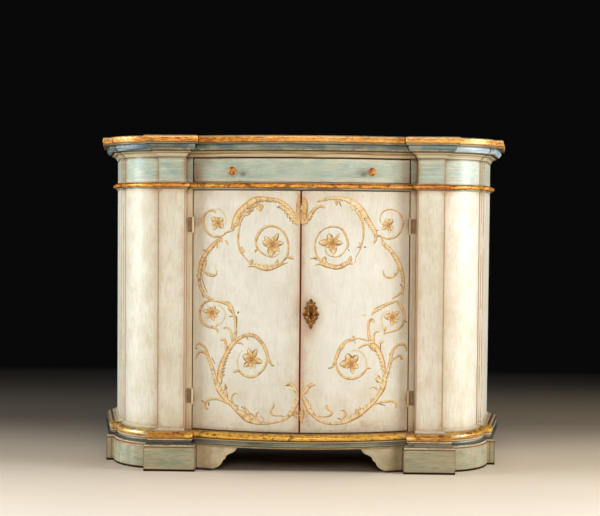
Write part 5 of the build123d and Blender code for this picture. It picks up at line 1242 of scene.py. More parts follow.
def make_gilt(name, kind):
    m = Mat(name, rough=0.36, metal=0.35, spec=0.5, coat=0.2, coat_rough=0.2)
    g, a, b = gilt(m, 3.0 if kind == "top" else 7.0 if kind == "waist" else 11.0)
    c = g
    metal = 0.45
    run = m.noise(60, 3, 0.6, sc=(0.15, 0.15, 1), off=(5, 2, 4))
    blot = m.noise(34, 4, 0.7, off=(4, 2, 8))
    if kind == "top":
        edge = m.z.near(1040, 2.5) * 0.35
        c = m.mix(edge, c, rgb(176, 112, 48))
        fil = m.mix(run.step(0.38, 0.62), rgb(108, 96, 62), rgb(152, 140, 104))
        fil = m.mix(blot.step(0.52, 0.66) * 0.6, fil, rgb(112, 84, 52))
        # Paler upper band of the top gilt edge: painted highlight.
        c = m.mix(m.z.step(1031.0, 1036.0) * 0.55, c, rgb(246, 210, 146))
        c = m.mix(m.z.near(1026.5, 5.5) * 0.45, c, rgb(240, 142, 20))
        c = m.mix(m.z.near(1026.5, 6.5) * blot.step(0.5, 0.6) * 0.6, c, rgb(134, 56, 10))
        # Brighter streaks from the centre to the right: painted highlight.
        c = m.mix(m.z.near(1026.0, 7.0) * (0.25 + run.step(0.42, 0.58) * 0.4) * m.x.step(-260, 60), c, rgb(255, 212, 124))
        c = m.mix(m.z.near(1021.4, 2.4) * 0.4, c, rgb(196, 150, 90))
        c = m.mix(m.z.step(1020.0, 1019.6), c, fil)
        c = m.mix(m.z.near(1019.9, 1.7) * 0.6, c, rgb(96, 66, 36))
        c = m.mix(m.z.near(1014, 1.8) * 0.7, c, rgb(90, 62, 38))
        metal = m.z.step(1020.2, 1021.4) * 0.45
    if kind == "waist":
        fil = m.mix(run.step(0.4, 0.6), rgb(112, 112, 92), rgb(170, 172, 152))
        # Brighter crown and lower edge and darker upper part of the waist torus: painted highlight and painted shade,
        # over the gilding's own dark blotches.
        c = m.mix(m.z.near(887.5, 6.5) * 0.5, c, rgb(250, 152, 16))
        c = m.mix(m.z.step(889.0, 893.5) * 0.4, c, rgb(132, 62, 14))
        c = m.mix(m.z.near(884.8, 3.4) * run.step(0.36, 0.54) * 0.6, c, rgb(255, 200, 88))
        c = m.mix(blot.step(0.52, 0.62) * 0.75, c, rgb(108, 38, 6))
        c = m.mix(m.z.near(888.5, 4.0) * blot.step(0.46, 0.36) * 0.6, c, rgb(255, 214, 110))
        c = m.mix(m.z.step(879.7, 879.0), c, fil)
        c = m.mix(m.z.near(879.4, 1.2) * 0.85, c, rgb(76, 44, 20))
        blk = m.ax.step(360.0, 368.0) * (1.0 - on_corner(m))
        c = m.mix(blk * 0.42, c, rgb(168, 78, 10))
        c = m.mix(m.z.step(893.8, 894.8), c, m.mix(run.step(0.4, 0.6), rgb(184, 162, 128), rgb(206, 196, 168)))
        c = m.mix(m.z.near(893.9, 1.0) * 0.5, c, rgb(120, 72, 32))
        c = m.mix(m.z.near(875, 1.8) * 0.85, c, rgb(58, 42, 28))
        metal = m.z.step(879.0, 880.0) * m.z.step(894.6, 893.8) * 0.45
    if kind == "base":
        mid = m.ax.step(331, 322)
        teal = m.mix(run.step(0.35, 0.6), rgb(44, 56, 54), rgb(72, 84, 76))
        sagey = m.mix(run.step(0.35, 0.62), rgb(104, 108, 88), rgb(140, 140, 114))
        brown = m.mix(run.step(0.35, 0.6), rgb(98, 72, 50), rgb(142, 118, 88))
        light = m.mix(blot.step(0.4, 0.6), rgb(204, 190, 160), rgb(170, 144, 104))
        tan = m.mix(blot.step(0.4, 0.6), rgb(150, 116, 76), rgb(176, 148, 108))
        cove, fine, hair = cream(m, (0.6 + m.z.near(117, 4) * 0.5).clamp())
        cove = m.mix(0.22, cove, rgb(188, 158, 118))
        # Light streaks on the teal band, stronger on the right: painted sheen.
        teal = m.mix((run.step(0.54, 0.68) * m.z.near(87, 5)) * (0.3 + m.x.step(-10, 10) * 0.3), teal, rgb(150, 162, 152))
        low = m.mix(mid, teal, sagey)
        low = m.mix(m.ax.step(352.0, 362.0) * (1.0 - on_corner(m)) * m.x.step(-10, 10) * 0.65, low, rgb(146, 138, 112))
        d = m.mix(m.z.step(77.2, 77.9), m.mix(mid, light, tan), low)
        d = m.mix(m.z.step(84.5, 86.5), d, m.mix(mid * 0.7, brown, sagey))
        d = m.mix(m.z.step(90.6, 91.4), d, m.mix(mid * 0.6, light, tan))
        blk = m.ax.step(352.0, 362.0) * (1.0 - on_corner(m))
        c = m.mix(0.54, c, rgb(255, 208, 86))
        c = m.mix(blk * m.z.near(106.0, 12.0) * 0.75, c, rgb(150, 70, 4))
        c = m.mix(blk * m.z.near(97.0, 4.0) * 0.5, c, rgb(236, 186, 116))
        c = m.mix(m.z.step(110.0, 115.0) * 0.25, c, rgb(140, 70, 16))
        c = m.mix(m.z.near(104.5, 5.0) * run.step(0.38, 0.56) * 0.4, c, rgb(255, 204, 96))
        c = m.mix(b.step(0.46, 0.36) * 0.7, c, rgb(120, 48, 8))
        c = m.mix(blot.step(0.54, 0.62) * 0.75, c, rgb(112, 40, 6))
        # Near-white spot on the corner torus: painted highlight.
        painted_highlight_spot = m.ax.near(513, 34) * m.x.step(10, -10) + m.ax.near(500, 36) * m.x.step(-10, 10)
        c = m.mix(painted_highlight_spot * m.y.step(60, 40) * m.z.near(106, 9) * (0.5 + run.step(0.4, 0.56) * 0.5), c, rgb(255, 244, 206))
        # Dark rear part of the side gilding with pale lines along it: painted shade and painted reflections.
        back = m.y.step(176.0, 200.0)
        c = m.mix(back * 0.88, c, rgb(78, 32, 12))
        c = m.mix(back * (m.z.near(97.4, 2.0) + m.z.near(112.5, 3.0)).clamp() * 0.85, c, rgb(222, 208, 184))
        # Paler teal band and paler gilt on the corner runs, brighter gilt and paler cove on the left corner: painted
        # highlight.
        d = m.mix(on_corner(m) * m.z.step(83.0, 86.0) * 0.3, d, rgb(226, 202, 168))
        c = m.mix(on_corner(m) * m.z.near(98.0, 4.5) * 0.5, c, rgb(244, 196, 128))
        left_corner_highlight = on_corner(m) * m.x.step(10, -10)
        c = m.mix(left_corner_highlight * m.z.near(107.0, 12.0) * 0.2, c, rgb(255, 238, 190))
        cove = m.mix(left_corner_highlight * 0.3, cove, rgb(240, 226, 198))
        join = m.x.near(330.0, 26.0) * 0.34
        c = m.mix(join, c, rgb(236, 206, 172))
        d = m.mix(join, d, rgb(200, 180, 150))
        d = m.mix(m.z.step(95.0, 95.8), d, c)
        c = m.mix(m.z.step(115.8, 116.8), d, cove)
        ln = (m.z.near(95.3, 1.6) * (0.9 - m.ax.step(340.0, 362.0) * 0.6) + m.z.near(91.1, 0.9) * 0.4 + m.z.near(77.6, 0.9) * 0.7
              + m.z.near(116.4, 1.6) * (0.85 - m.ax.step(340.0, 362.0) * 0.35) + m.z.near(73.8, 1.0) * 0.5)
        c = m.mix(ln.clamp(), c, rgb(80, 46, 22))
        metal = (m.z.step(95.0, 96.0) * m.z.step(116.2, 115.4)) * 0.45
    c = m.mix(crease(m, 3.4) * 0.85, c, rgb(48, 26, 10))
    m.colour(c)
    m.put(m.b.inputs["Metallic"], metal)
    m.rough((0.22 if kind == "base" else 0.28) + 0.3 * a)
    m.bump(a * 0.8 + b * 0.6, 0.0006, 0.5)
    return m


M_TOPGILT = make_gilt("gilt_top", "top")
M_WAIST = make_gilt("gilt_waist", "waist")
M_BASE = make_gilt("gilt_base", "base")


def make_top_surface():
    m = Mat("paint_top", rough=0.4, spec=0.45, coat=0.3, coat_rough=0.2)
    c, s1 = sage(m, (m.y.near(405, 16) * 0.6).clamp())
    n = m.noise(7, 4, 0.7, off=(1, 4, 2))
    c = m.mix(n.step(0.5, 0.72) * 0.5, c, rgb(176, 162, 124))
    m.colour(c)
    m.rough(0.36 + 0.2 * s1)
    m.bump(s1, 0.0003, 0.3)
    return m


M_TOP = make_top_surface()


def make_wood(name, axis, light, dark, gloss=0.62, boards=None):
    m = Mat(name, rough=gloss, spec=0.35)
    st = {"x": (0.05, 1, 1), "y": (1, 0.05, 1), "z": (1, 1, 0.05)}[axis]
    w = m.noise(28, 4, 0.6, sc=st, off=(1, 2, 3), dist=0.8)
    r = m.math("SINE", w * 60.0) * 0.5 + 0.5
    pores = m.noise(700, 2, 0.6, sc=st, off=(4, 2, 1))
    tone = m.noise(3.0, 2, 0.5, off=(7, 7, 1))
    c = m.mix(r * 0.6, rgb(*light), rgb(*dark))
    c = m.mix(pores.step(0.55, 0.75) * 0.5, c, rgb(*[q * 0.62 for q in dark]))
    c = m.mix(tone.step(0.35, 0.7) * 0.35, c, rgb(*[q * 0.8 for q in dark]))
    if boards:
        a, pitch = boards
        idx = m.math("FLOOR", (m.x - a) / pitch)
        v = m.math("FRACT", idx * 0.37 + 5.2)
        c = m.mix(v * 0.4, c, rgb(*[q * 0.7 for q in dark]))
    m.colour(c)
    m.rough(gloss + 0.12 * pores)
    m.bump(pores * 0.6 + r * 0.3, 0.0003, 0.4)
    return m


M_WOOD_X = make_wood("wood_x", "x", (178, 140, 98), (140, 100, 62))
M_WOOD_Y = make_wood("wood_y", "y", (182, 146, 104), (144, 104, 66))
M_WOOD_Z = make_wood("wood_z", "z", (172, 134, 92), (134, 96, 60))
M_BACK = make_wood("wood_back", "z", (150, 114, 76), (112, 80, 50), boards=(-619.87, 177.1))
M_FRAMEW = make_wood("wood_foot", "x", (140, 108, 72), (104, 76, 48))


def make_fillet():
    m = Mat("paint_fillet", rough=0.5, spec=0.42)
    n = m.noise(44, 4, 0.7, off=(3, 2, 7))
    s = m.noise(160, 3, 0.6, sc=(0.08, 0.08, 1), off=(3, 2, 7))
    low = m.mix(n.step(0.36, 0.62), rgb(150, 118, 78), rgb(184, 156, 112))
    top = m.mix(n.step(0.4, 0.6), rgb(204, 190, 160), rgb(166, 142, 104))
    c = m.mix(m.z.step(73.2, 74.2), low, top)
    c = m.mix(s.step(0.55, 0.75) * 0.4, c, rgb(214, 198, 164))
    c = m.mix((m.z.near(69.8, 1.6) + m.z.near(78, 1.4)).clamp() * 0.8, c, rgb(78, 50, 28))
    c = m.mix(crease(m, 2.4) * 0.8, c, rgb(56, 36, 20))
    m.colour(c)
    m.rough(0.45 + 0.2 * n)
    m.bump(n + s * 0.4, 0.0004, 0.4)
    return m


M_FILLET = make_fillet()


def make_metal(name, a, b, worn, rough=0.42, metal=0.85, scale=90.0, paint=None):
    m = Mat(name, rough=rough, metal=metal, spec=0.5)
    n = m.noise(scale, 4, 0.65, off=(3, 2, 5))
    f = m.noise(scale * 5, 3, 0.6, off=(1, 8, 5))
    c = m.mix(n.step(0.35, 0.65), rgb(*a), rgb(*b))
    c = m.mix(f.step(0.55, 0.75) * 0.6, c, rgb(*worn))
    mt = metal
    if paint:
        k = m.noise(scale * 0.8, 4, 0.7, off=(9, 3, 1)).step(0.4, 0.56)
        c = m.mix(k * 0.85, c, rgb(*paint))
        mt = metal - k * (metal - 0.05)
    m.colour(c)
    m.put(m.b.inputs["Metallic"], mt)
    m.rough(rough + 0.25 * (n - 0.5))
    m.bump(n * 0.6 + f * 0.5, 0.0003, 0.5)
    return m


M_HINGE = make_metal("hinge_metal", (124, 96, 62), (158, 128, 88), (190, 162, 120), 0.5, 0.15, paint=(170, 140, 100))
M_PIN = make_metal("pin_metal", (184, 160, 122), (226, 206, 170), (248, 234, 206), 0.4, 0.15, paint=(240, 224, 192))
M_ESC = make_metal("escutcheon_metal", (58, 32, 10), (134, 84, 26), (222, 160, 66), 0.36, 0.65, 300.0)
M_BRASS = make_metal("aged_brass", (94, 62, 22), (150, 104, 40), (206, 156, 74), 0.34, 0.85, 220.0)
M_ESCR = make_metal("escutcheon_leaves", (70, 38, 12), (186, 122, 44), (248, 196, 104), 0.34, 0.65, 420.0)
M_IRON = make_metal("lock_iron", (58, 54, 50), (86, 80, 72), (120, 112, 100), 0.45, 0.8)


nx = M_HINGE.ax.step(345.4, 344.0)
nk = M_HINGE.noise(120, 3, 0.6, off=(3, 8, 1))
M_HINGE.colour(M_HINGE.mix(nx * 0.9, M_HINGE.mix(M_HINGE.ax.near(347.2, 2.6) * 0.75, M_HINGE.mix(
    nk.step(0.35, 0.65), rgb(142, 116, 82), rgb(174, 146, 110)), rgb(92, 62, 32)), M_HINGE.mix(
        M_HINGE.x.step(-10, 10), rgb(238, 218, 182), rgb(206, 178, 138))))


def make_knob():
    m = Mat("knob_gilt", rough=0.42, metal=0.25, spec=0.5)
    n = m.noise(160, 4, 0.7, off=(3, 2, 5))
    c = m.mix(n.step(0.38, 0.56), rgb(120, 62, 16), rgb(206, 132, 52))
    c = m.mix(n.step(0.55, 0.66) * 0.85, c, rgb(250, 200, 116))
    c = m.mix(n.step(0.42, 0.32) * 0.85, c, rgb(62, 32, 12))
    m.colour(c)
    m.rough(0.36 + 0.25 * n)
    m.bump(n, 0.0004, 0.5)
    return m


M_KNOB = make_knob()


def make_ornament():
    m = Mat("ochre_relief", rough=0.5, spec=0.42, coat=0.1, coat_rough=0.3)
    a = m.attr("tint")
    n = m.noise(300, 3, 0.65, off=(3, 2, 5))
    n2 = m.noise(90, 3, 0.65, off=(8, 2, 5))
    c = m.mix(n.step(0.56, 0.76) * 0.35, a.outputs["Color"], rgb(238, 216, 168))
    c = m.mix(n.step(0.44, 0.28) * 0.5, c, rgb(140, 88, 38))
    c = m.mix(0.12, c, rgb(226, 222, 166))
    c = m.mix(n2.step(0.6, 0.76) * 0.3, c, rgb(226, 214, 184))
    c = m.mix(m.ax.step(30.0, 10.0) * (m.z.step(762.0, 792.0) + m.z.step(214.0, 184.0)).clamp() * 0.42, c, rgb(180, 116, 50))
    c = m.mix(m.x.near(166.0, 52.0) * m.z.near(836.0, 40.0) * 0.45, c, rgb(255, 246, 212))
    m.colour(c)
    m.rough(0.42 + 0.2 * n)
    m.bump(n, 0.0002, 0.4)
    return m


M_ORN = make_ornament()

# -------------------------------------------------------------------- carcass
CORNICE = [[(2, 974), (3, 978), (6, 983), (11, 987.5), (17.5, 991)], (19, 993.2), (20.5, 993.8),
           [(21.5, 994.2), (25, 995.5), (29.5, 999.5), (31, 1003.5)], (31.2, 1004.2),
           [(32, 1004.5), (33, 1007), (33, 1011), (32, 1013.2), (31.5, 1014)]]
WAIST = [(4, 875), (4, 879), [(7, 879.6), (11.5, 882), (14, 885), (14.5, 888), (13, 891.5),
                             (9.5, 894.2), (6.5, 895.4), (3.5, 896.5)]]
BASE = [(30.5, 78), (33, 79.5), (33, 82), (31, 83.5), (24, 84), [(24, 84), (22.5, 87.5), (25, 91)],
        (27, 91.2), (27, 95), (23, 95.4), [(23, 95.4), (27, 98.5), (28.5, 103), (27.5, 108),
                                           (23, 112.8), (17.5, 115.4), (15, 116)]]
CBASE = [(35.0, 73.5), (35.0, 76.5), (33.5, 77.6)] + BASE
COVE = [[(15, 116), (13, 117.2)], (5.0, 117.7), (5.0, 119.6), [(4.8, 119.8), (3.4, 120.4), (1.8, 121.6), (1, 123)]]
SIDES = (("right", False), ("left", True))
for prof, base, mat, slot, wob in ((CORNICE, "cornice", M_CORNICE, "cornice_paint", 0.2),
                                   (WAIST, "waist_moulding", M_WAIST, "gilt_moulding", 0.45),
                                   (BASE, "base_moulding", M_BASE, "gilt_moulding", 0.45)):
    kind = "base" if base == "base_moulding" else "crown"
    sweep(base + "_centre_run", centre_path, CBASE if kind == "base" else prof, mat, "carcass",
          [base + "_centre"], wob=wob, seed=1.0)
    for s, mir in SIDES:
        sweep(base + "_" + s + "_run", lambda p: side_path(p, True, kind), prof, mat, "carcass",
              [base + "_" + s], mirror=mir, wob=wob, seed=5.0 if mir else 9.0)
for s, mir in SIDES:
    sweep("base_cove_" + s, lambda p: side_path(p, False, "base"), COVE, M_BASE, "carcass",
          ["base_moulding_" + s], mirror=mir, wob=0.15, seed=13.0)


def make_top():
    prof = smooth_line([(39, 1014), (40, 1015.2), (40, 1018.4), (39.2, 1019.5)], 2) + [(39.0, 1019.8)]
    prof += smooth_line([(39.8, 1020.2), (41.4, 1022.4), (42, 1027), (42, 1034), (41.2, 1037.5), (39, 1039.4),
                         (36.5, 1040)], 3)
    rows = [(30.0, 1014.0)] + prof + [(33.0, 1040.0)]
    verts, faces, mi = [], [], []
    n = None
    for p, z in rows:
        A = whole_path(p)
        B = whole_path(max(p - 1.0, 0.0))
        n = len(A)
        for (ax, ay), (bx, by) in zip(A, B):
            d = 0.0
            if p > 36:
                d = min(0.8, max(0.0, 0.35 * (0.5 + 0.7 * nz(ax, ay, z, 26, 2)) + 0.3 * max(0.0, nz(ax, ay, z * 2, 110, 8))))
            verts.append(W(ax + (bx - ax) * d, ay + (by - ay) * d, z))
    for k in range(len(rows) - 1):
        for i in range(n):
            j = (i + 1) % n
            faces.append((k * n + i, k * n + j, (k + 1) * n + j, (k + 1) * n + i))
            mi.append(0)
    faces.append(tuple(range(n - 1, -1, -1)))
    mi.append(0)
    faces.append(tuple(range((len(rows) - 1) * n, len(rows) * n)))
    mi.append(1)
    o = piece("top_board_painted", verts, faces, [M_TOPGILT, M_TOP], "carcass",
              ["top_board"], 30.0)
    for f in o.data.polygons:
        c = f.center
        if f.normal.z > 0.85 and c.z > 1.0445:
            f.material_index = 1
    return o


make_top()


def inner_wood(o, test, idx=1):
    """Faces for which test(x, y, z, normal) holds take the second material."""
    for f in o.data.polygons:
        c = f.center
        if test(c.x * 1000, c.y * 1000 + YMID, c.z * 1000, f.normal):
            f.material_index = idx


def arcp(cx, cy, r, a0, a1, n):
    return [(cx + r * math.sin(math.radians(a0 + (a1 - a0) * i / n)),
             cy - r * math.cos(math.radians(a0 + (a1 - a0) * i / n))) for i in range(n + 1)]


for s, mir in SIDES:
    yi, xs = yb(PIL_IN), STEP_X + 20 * (BACK_X - STEP_X) / (YBK - YQ)
    pts = (soft_corner((PIL_IN, 0.0), (0, -1), (1, 0), 1.6, 4)
           + seg((PIL_IN + 1.6, 0), (PIL_OUT - 1.6, 0), 5)[1:]
           + soft_corner((PIL_OUT, 0.0), (1, 0), (0, 1), 1.6, 4) + [(PIL_OUT, yi), (PIL_IN, yi)])
    prism("pilaster_%s_painted" % s, pts, 78, 1003, M_PILASTER, "carcass",
          ["pilaster_" + s], mirror=mir, wob=0.2, seed=3.0 if mir else 6.0, step=18)
    pts = arcp(PIL_OUT, YQ, RQ, 0, 90, 36) + arcp(PIL_OUT, YQ, RQ - 18, 90, 0, 18)
    o = prism("corner_panel_%s_painted" % s, pts, 78, 1003, [M_CORNER, M_WOOD_Z], "carcass",
              ["corner_panel_" + s], mirror=mir, wob=0.2, seed=4.0 if mir else 8.0, step=18)
    inner_wood(o, lambda x, y, z, n: math.hypot(abs(x) - PIL_OUT, y - YQ) < RQ - 15)
    pts = ([(PIL_OUT + RQ - 18, YQ)] + seg((PIL_OUT + RQ - 17, YQ), (STEP_X - 1.6, YQ), 3)
           + soft_corner((STEP_X, YQ), (1, 0), (UX, UY), 1.6, 4)
           + seg((STEP_X + UX * 1.6, YQ + UY * 1.6), (BACK_X - UX * 1.6, YBK - UY * 1.6), 10)[1:]
           + soft_corner((BACK_X, YBK), (UX, UY), (-1, 0), 1.6, 3)
           + [(BACK_X - 18, YBK), (xs - 18, YQ + 20), (PIL_OUT + RQ - 18, YQ + 20)])
    o = prism("side_panel_%s_painted" % s, pts, 78, 1003, [M_SIDE, M_WOOD_Z], "carcass",
              ["side_panel_" + s], mirror=mir, wob=0.2, seed=5.0 if mir else 2.0, step=18)
    inner_wood(o, lambda x, y, z, n: (y > YQ + 15 and n.x * (1 if x > 0 else -1) < -0.5) or (
        n.y > 0.5 and y < YBK - 5))
    # plinth
    xf, xo = PIL_IN - 38, PIL_OUT + 38
    pts = (soft_corner((xf, -38), (0, -1), (1, 0), 2.2, 4) + seg((xf + 2.2, -38), (xo - 2.2, -38), 6)[1:]
           + soft_corner((xo, -38), (1, 0), (0, 1), 2.2, 4) + [(xo, 44), (xf, 44)])
    prism("plinth_block_%s_painted" % s, pts, -DROP, 70, M_PBLOCK, "carcass",
          ["plinth_block_" + s], r_top=1.0, r_bot=1.8, mirror=mir, wob=0.4, seed=3.5 if mir else 6.5,
          step=9)
    r_o, r_i = RQ + 38, RQ + 16
    t0 = math.degrees(math.asin(38 / r_o))
    t1 = 90 - t0
    u0 = math.degrees(math.asin(38 / r_i))
    pts = arcp(PIL_OUT, YQ, r_o, t0, t1, 34) + arcp(PIL_OUT, YQ, r_i, 90 - u0, u0, 16)
    prism("plinth_corner_%s_painted" % s, pts, -DROP, 70, M_PCORNER, "carcass",
          ["plinth_corner_" + s], r_top=1.0, r_bot=1.8, mirror=mir, wob=0.4, seed=2.5 if mir else 7.5,
          step=9)
    ys = YQ - 38
    ei = PIL_OUT + math.sqrt(r_i ** 2 - 38 ** 2)
    _, f38, g38 = corner_plan(38.0, "plinth")
    t = math.hypot(g38[0] - f38[0], g38[1] - f38[1])
    vx, vy = (g38[0] - f38[0]) / t, (g38[1] - f38[1]) / t
    pts = (seg((ei, ys), (f38[0] - 2.2, f38[1]), 4) + soft_corner(f38, (1, 0), (vx, vy), 2.2, 4)
           + seg((f38[0] + vx * 2.2, f38[1] + vy * 2.2), g38, 12)[1:]
           + [g38, (g38[0] - 22, YBK), (f38[0] - 20.5, ys + 22), (ei, ys + 22)])
    prism("plinth_side_%s_painted" % s, pts, -DROP, 70, M_PSIDE, "carcass",
          ["plinth_side_" + s], r_top=1.0, r_bot=1.8, mirror=mir, wob=0.4, seed=1.5 if mir else 8.5,
          step=9)

# scroll-cut brackets
SCROLL = [(191.6, 73.5), (192.4, 71.8), (194.2, 68.2), (197, 64.2), (201.5, 59.7), (205.5, 57.2),
          (210.3, 55.2), (216.5, 52.6), (222, 49.7), (225.8, 46.6), (228.3, 43.2), (228.9, 40.0),
          (230, 37.2), (233.2, 34.8), (237.2, 32.4), (239.2, 28.8), (240.5, 25.3), (245, 18.8),
          (252.5, 13.0), (258, 9.8), (263, 7.5), (268, 5.6), (271.6, 3.8), (272.5, 0)]
SCROLL = [(x, z - DROP * (1 - z / 73.5)) for x, z in SCROLL]


def low(x):
    for (a, za), (b, zb) in zip(SCROLL, SCROLL[1:]):
        if a <= x <= b:
            return za + (zb - za) * (x - a) / (b - a)
    return -DROP if x > 272.5 else 73.5


def make_bracket_piece(s, mir):
    xs = sorted(set([q[0] for q in SCROLL] + [193.2, 199, 213, 219.5, 235, 242.8, 248.5, 255.5, 260.5]
                    + [276 + 4 * i for i in range(12)] + [324.0]))
    nt = 10
    verts, faces = [], []
    for face_p, rnd in ((29.0, 1.6), (9.0, 0.0)):
        for x in xs:
            z0 = low(x)
            for k in range(nt + 1):
                t = (k / nt) ** 1.6
                z = z0 + (73.5 - z0) * t
                d = z - z0
                dep = 0.0
                if rnd and d < rnd:
                    dep = rnd - math.sqrt(max(0.0, rnd * rnd - (rnd - d) ** 2))
                verts.append(W(x, yb(x, face_p - dep), z))
    n, m = len(xs), nt + 1
    off = n * m
    for i in range(n - 1):
        for k in range(nt):
            a = i * m + k
            faces.append((a, a + m, a + m + 1, a + 1))
            faces.append((off + a, off + a + 1, off + a + m + 1, off + a + m))
    for i in range(n - 1):
        a, b = i * m, (i + 1) * m
        faces.append((a, off + a, off + b, b))
        a, b = i * m + nt, (i + 1) * m + nt
        faces.append((b, off + b, off + a, a))
    for k in range(nt):
        a = (n - 1) * m + k
        faces.append((a, off + a, off + a + 1, a + 1))
    piece("bracket_%s_painted" % s, verts, faces, M_BRACKET, "carcass", ["bracket_" + s],
          30.0, mirror=mir)


for s, mir in SIDES:
    make_bracket_piece(s, mir)

# ------------------------------------------------------------ doors and drawer
bow_l = bow_board("left_door_painted", -340.0, -1.0, 119.0, 871.0, 0.0, -22.0, 1.4, [M_DOOR_L, M_WOOD_Z],
                  "left_door", ["left_door_panel"], seed=2.0)
bow_r = bow_board("right_door_painted", 1.0, 340.0, 119.0, 871.0, 0.0, -22.0, 1.4, [M_DOOR_R, M_WOOD_Z],
                  "right_door", ["right_door_panel"], seed=4.0)
for o in (bow_l, bow_r):
    inner_wood(o, lambda x, y, z, n: n.y > 0.5)

# keyhole through the right door
kv, kf = [], []
outline = [(33.5 + 3.4 * math.cos(math.radians(a)), 491 + 3.4 * math.sin(math.radians(a)))
           for a in range(-60, 241, 20)] + [(31.8, 479.0), (35.2, 479.0)]
for yy in (-60.0, 20.0):
    for x, z in outline:
        kv.append(W(x, yy, z))
n = len(outline)
for i in range(n):
    kf.append((i, (i + 1) % n, n + (i + 1) % n, n + i))
kf += [tuple(range(n)), tuple(range(2 * n - 1, n - 1, -1))]
kme = bpy.data.meshes.new("keyhole_cut")
kme.from_pydata(kv, [], kf)
bm = bmesh.new()
bm.from_mesh(kme)
bmesh.ops.recalc_face_normals(bm, faces=bm.faces)
bm.to_mesh(kme)
bm.free()
kme.materials.append(M_WOOD_Z.m)
cutter = bpy.data.objects.new("keyhole_cut", kme)
COLL.objects.link(cutter)
md = bow_r.modifiers.new("cut", "BOOLEAN")
md.operation = "DIFFERENCE"
md.solver = "EXACT"
md.object = cutter
dg = bpy.context.evaluated_depsgraph_get()
new = bpy.data.meshes.new_from_object(bow_r.evaluated_get(dg), depsgraph=dg)
bow_r.modifiers.clear()
old = bow_r.data
bow_r.data = new
bpy.data.objects.remove(cutter)

bow_d = bow_board("drawer_front_painted", -340.0, 340.0, 898.0, 971.0, 0.0, -20.0, 1.4,
                  [M_DRAWER, M_WOOD_X], "drawer", ["drawer_front"], seed=6.0)
inner_wood(bow_d, lambda x, y, z, n: n.y > 0.5)

KP = [(0.01, -2.0), (8.5, -2.0), (8.6, 0.6), (8.0, 1.6), (6.6, 2.6), (4.9, 4.0), (4.2, 5.8), (4.5, 7.8),
      (6.6, 10.4), (10.4, 12.3), (12.5, 15.0), (13.0, 17.8), (12.2, 20.6), (9.6, 23.4), (5.4, 25.1),
      (2.0, 25.6), (0.01, 25.6)]
for s, kx in (("right", 215.5), ("left", -211.0)):
    a = math.asin(kx / RB)
    ox, oy = kx, yb(kx)
    ux, uy = math.cos(a), math.sin(a)
    nx_, ny_ = math.sin(a), -math.cos(a)

    def place(px, py, h, ox=ox, oy=oy, ux=ux, uy=uy, nx_=nx_, ny_=ny_):
        return W(ox + px * ux + h * nx_, oy + px * uy + h * ny_, 931.0 + py)
    lathe("drawer_knob_%s_turned" % s, KP, place, M_KNOB, "drawer",
          ["drawer_knob_" + s])

# scrollwork in thin raised paint on the doors
for side, data, body in (("left", SCROLL_LEFT, "left_door"), ("right", SCROLL_RIGHT, "right_door")):
    r = Relief(0.0)
    lim = (-337.5, -2.2) if side == "left" else (2.2, 337.5)
    for i, (kind, pts) in enumerate(data):
        pts = [(min(max(x, lim[0] + w * 0.5), lim[1] - w * 0.5), z, w) for x, z, w in pts]
        r.stroke(kind, pts, seed=i * 0.37)
    for sd, cx, cz, pet in FLOWERS:
        if (sd == "L") == (side == "left"):
            r.flower(cx, cz, pet)
    r.make("scrollwork_" + side, M_ORN, body)

# leafy relief on the escutcheon plate
er = Relief(2.4)
LX, LZ = 33.5, 490.0
for i, (kind, pts) in enumerate((
        ("l", [(0.5, 40, 2.0), (4.0, 37, 4.0), (6.2, 31.5, 4.6), (4.0, 26.5, 3.4), (2.0, 24, 1.6)]),
        ("l", [(12.5, 33.5, 1.6), (10.5, 29.5, 3.4), (12.2, 24.5, 3.6), (16.0, 21.0, 2.4), (18.6, 17.6, 1.4)]),
        ("s", [(5.5, 22.5, 2.4), (9.0, 17.0, 3.6), (14.0, 12.5, 4.4), (17.5, 6.6, 4.6), (22.5, 2.6, 2.4),
               (24.2, -1.6, 1.2)]),
        ("l", [(6.0, 12.5, 1.6), (9.5, 8.0, 3.4), (10.2, 1.5, 3.8), (7.6, -3.2, 2.2)]),
        ("s", [(20.4, -7.4, 1.4), (17.6, -11.0, 3.8), (15.0, -16.0, 3.8), (10.8, -19.2, 2.8), (7.0, -17.2, 1.6)]),
        ("l", [(12.4, -24.0, 1.4), (9.2, -26.4, 3.4), (6.2, -30.0, 3.2), (4.4, -35.6, 2.4), (1.0, -41.0, 1.4)]),
        ("l", [(4.6, -12.5, 1.6), (6.2, -17.0, 2.8), (3.8, -22.5, 2.8), (1.2, -25.0, 1.4)]))):
    for sgn in (1, -1):
        er.stroke(kind, [(LX + sgn * (x * 0.94), LZ + z * 0.97, w) for x, z, w in pts],
                  seed=i * 0.7 + sgn * 0.2, h=1.5)
er.make("escutcheon_relief", M_ESCR, "right_door")

